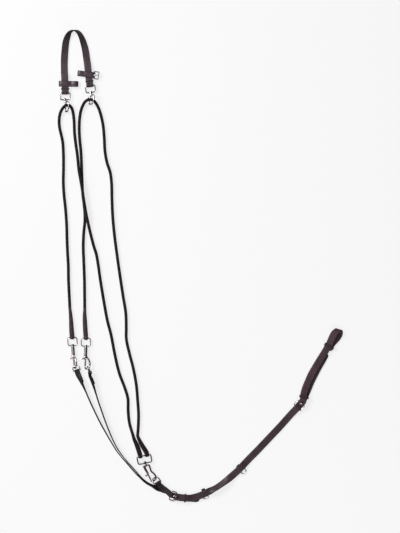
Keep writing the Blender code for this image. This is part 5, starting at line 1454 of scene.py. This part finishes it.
def run_near(strap, u, v, low=0.0):
    goal = np.array(at(u, v))
    away = np.hypot(strap.c[:, 0] - goal[0], strap.c[:, 1] - goal[1])
    away[strap.run < low] = 9.0
    return strap.run[int(np.argmin(away))]


for u, v in ((203.2, 493.5), (239.4, 468.8)):
    middle = run_near(chest, u, v, 60.0)
    for shift in (-4.2, 4.2):
        spots += chest.cross(middle + shift, 1, 7.2)
stitches("chest_strap_stitches", spots)

loop_path = [(at(*row[:3]), Vector((row[3], -row[4], row[5])).normalized())
             for row in smooth_path(loop_rows, 1.2)]
girth = Strap(girth_back[::-1] + plain(girth_line) + loop_path, STRAP_W, STRAP_T, skew=True)
piece = girth.skin("girth_strap_leather", GIRTH_PAINTED_LIGHTER, seed=15.0)
piece = combine(piece, box("girth_slot", (13.5, 5.0, 11.4), girth_slot @ Matrix.Translation(
    (-0.2 * MM, 0, 0.5 * MM)), 1.2), "DIFFERENCE")
done(smooth(piece, 50), "root", "leather", "girth_strap")
loop_from = run_near(girth, 327.9, 346.6, 60.0)
spots = []
for x in (-7.6, 7.6):
    spots += girth.row(x, 1, 49.0, 70.0)
    spots += girth.row(x, 1, 3.0, 23.0)
    spots += girth.row(x, 1, loop_from - 22.0, loop_from + 10.0)
spots += girth.cross(2.0, 1, 6.8)
spots += girth.cross(loop_from + 10.5, 1, 6.8)
stitches("girth_strap_stitches", spots)

spot = near(chest_line, 184.9, 497.7)
keeper("junction_keeper_band", "junction_keeper", "root", at(185.2, 497.9), flat(spot[2]),
       22.4, 1.1, 11.6, 5.0, 0.9)
keeper("girth_keeper_small_band", "girth_keeper_small", "root", at(303.95, 397.0),
       plan(-0.97, -0.25), 25.8, 1.1, 11.5, 6.0, 0.9)
spot = near(girth_line, 327.9, 346.6)
keeper("girth_keeper_band", "girth_keeper", "girth_keeper_slider", at(329.0, 346.3),
       flat(spot[2]), 27.4, 0.9, 8.8, 9.0, 0.9)


def sewn_dee(prefix, body, u, v, along, out, inset, stick):
    bar = at(u, v, 3.15) + out * inset * MM
    dee(prefix + "_wire", prefix, body, bar, bar + out * stick * MM, along, 7.4, 1.4, 1.8, 5.4)
    rows = []
    corners = [(2.6, 0.8), (0.0, 0.8), (-2.4, 0.8), (-4.6, 1.5), (-6.8, 3.0), (-9.2, 3.8),
               (-12.4, 3.9), (-16.0, 3.9)]
    for a, b in zip(corners, corners[1:]):
        for k in range(4):
            q = k / 4
            step, height = a[0] + (b[0] - a[0]) * q, a[1] + (b[1] - a[1]) * q
            point = bar + out * step * MM
            rows.append((Vector((point.x, point.y, height * MM)), along))
    point = bar + out * corners[-1][0] * MM
    rows.append((Vector((point.x, point.y, corners[-1][1] * MM)), along))
    tab = Strap(rows, 11.0, 1.3, 1)
    done(tab.skin(prefix + "_tab_leather", LEATHER, crease=1.4, depth=0.12, wave=0.03, seed=21.0),
         "root", "leather", prefix + "_tab")


sewn_dee("chest_dee_front", "chest_dee_front_swing", 204.5, 493.4, plan(0.95, -0.31),
         plan(0.31, 0.95), 2.0, 13.5)
sewn_dee("chest_dee_rear", "chest_dee_rear_swing", 240.2, 468.0, plan(0.68, -0.73),
         plan(0.73, 0.68), 5.0, 13.5)

for name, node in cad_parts.items():
    if name.endswith("_spring"):
        node.data.materials.clear()
        node.data.materials.append(STEEL)
        node.data.polygons.foreach_set("use_smooth", [True] * len(node.data.polygons))

# ---------------------------------------------------------------- floor, light
SCENE.view_settings.view_transform = "Standard"
SCENE.view_settings.look = "None"

floor_mesh = bpy.data.meshes.new("floor")
ground = bmesh.new()
bmesh.ops.create_grid(ground, x_segments=1, y_segments=1, size=9.0)
ground.to_mesh(floor_mesh)
ground.free()
n = Nodes("pale_floor")
paper = n.noise(n.coords(), 140.0, 3.0, 0.6)
n.link(n.mix(paper, (0.27, 0.27, 0.27), (0.285, 0.285, 0.285)), n.shader.inputs["Base Color"])
n.shader.inputs["Roughness"].default_value = 0.9
n.shader.inputs["Specular IOR Level"].default_value = 0.0
n.shader.inputs["Emission Color"].default_value = (1, 1, 1, 1)
n.shader.inputs["Emission Strength"].default_value = 0.755
floor = link("floor", floor_mesh, n.made, Matrix.Translation((0, 0, -0.0004)))
floor.visible_glossy = False

# Soft studio: a lit wall on the left, a dim ceiling, dark on the right and below.
world = bpy.data.worlds.new("studio")
SCENE.world = world
world.use_nodes = True
sky = Nodes.__new__(Nodes)
sky.tree = world.node_tree
back = sky.tree.nodes["Background"]
split = sky.tree.nodes.new("ShaderNodeSeparateXYZ")
sky.link(sky.add("TexCoord").outputs["Generated"], split.inputs[0])
dx, dy, dz = split.outputs
above = sky.ramp(dz, -0.02, 0.16)
wall = sky.math("MULTIPLY", sky.ramp(dx, -0.45, -0.85, 0.0, 0.85), above)
top = sky.math("MULTIPLY", sky.ramp(dy, 0.45, 0.90, 0.0, 0.30), above)
roof = sky.ramp(dz, 0.90, 0.995, 0.0, 0.30)
level = sky.math("ADD", sky.math("ADD", wall, top), sky.math("ADD", roof, 0.035))
sky.link(level, back.inputs[1])
back.inputs[0].default_value = (1.0, 0.975, 0.985, 1)


def area(name, place, size, power, aim=(0, 0, 0)):
    data = bpy.data.lights.new(name, "AREA")
    data.shape = "RECTANGLE"
    data.size, data.size_y = size
    data.energy = power
    lamp = bpy.data.objects.new(name, data)
    SCENE.collection.objects.link(lamp)
    lamp.location = place
    lamp.rotation_euler = (Vector(aim) - Vector(place)).to_track_quat("-Z", "Y").to_euler()
    return lamp


area("key_light", (-2.6, 1.6, 2.6), (1.5, 1.5), 95.0)
area("fill_light", (0.6, -2.6, 2.4), (1.2, 1.2), 26.0)
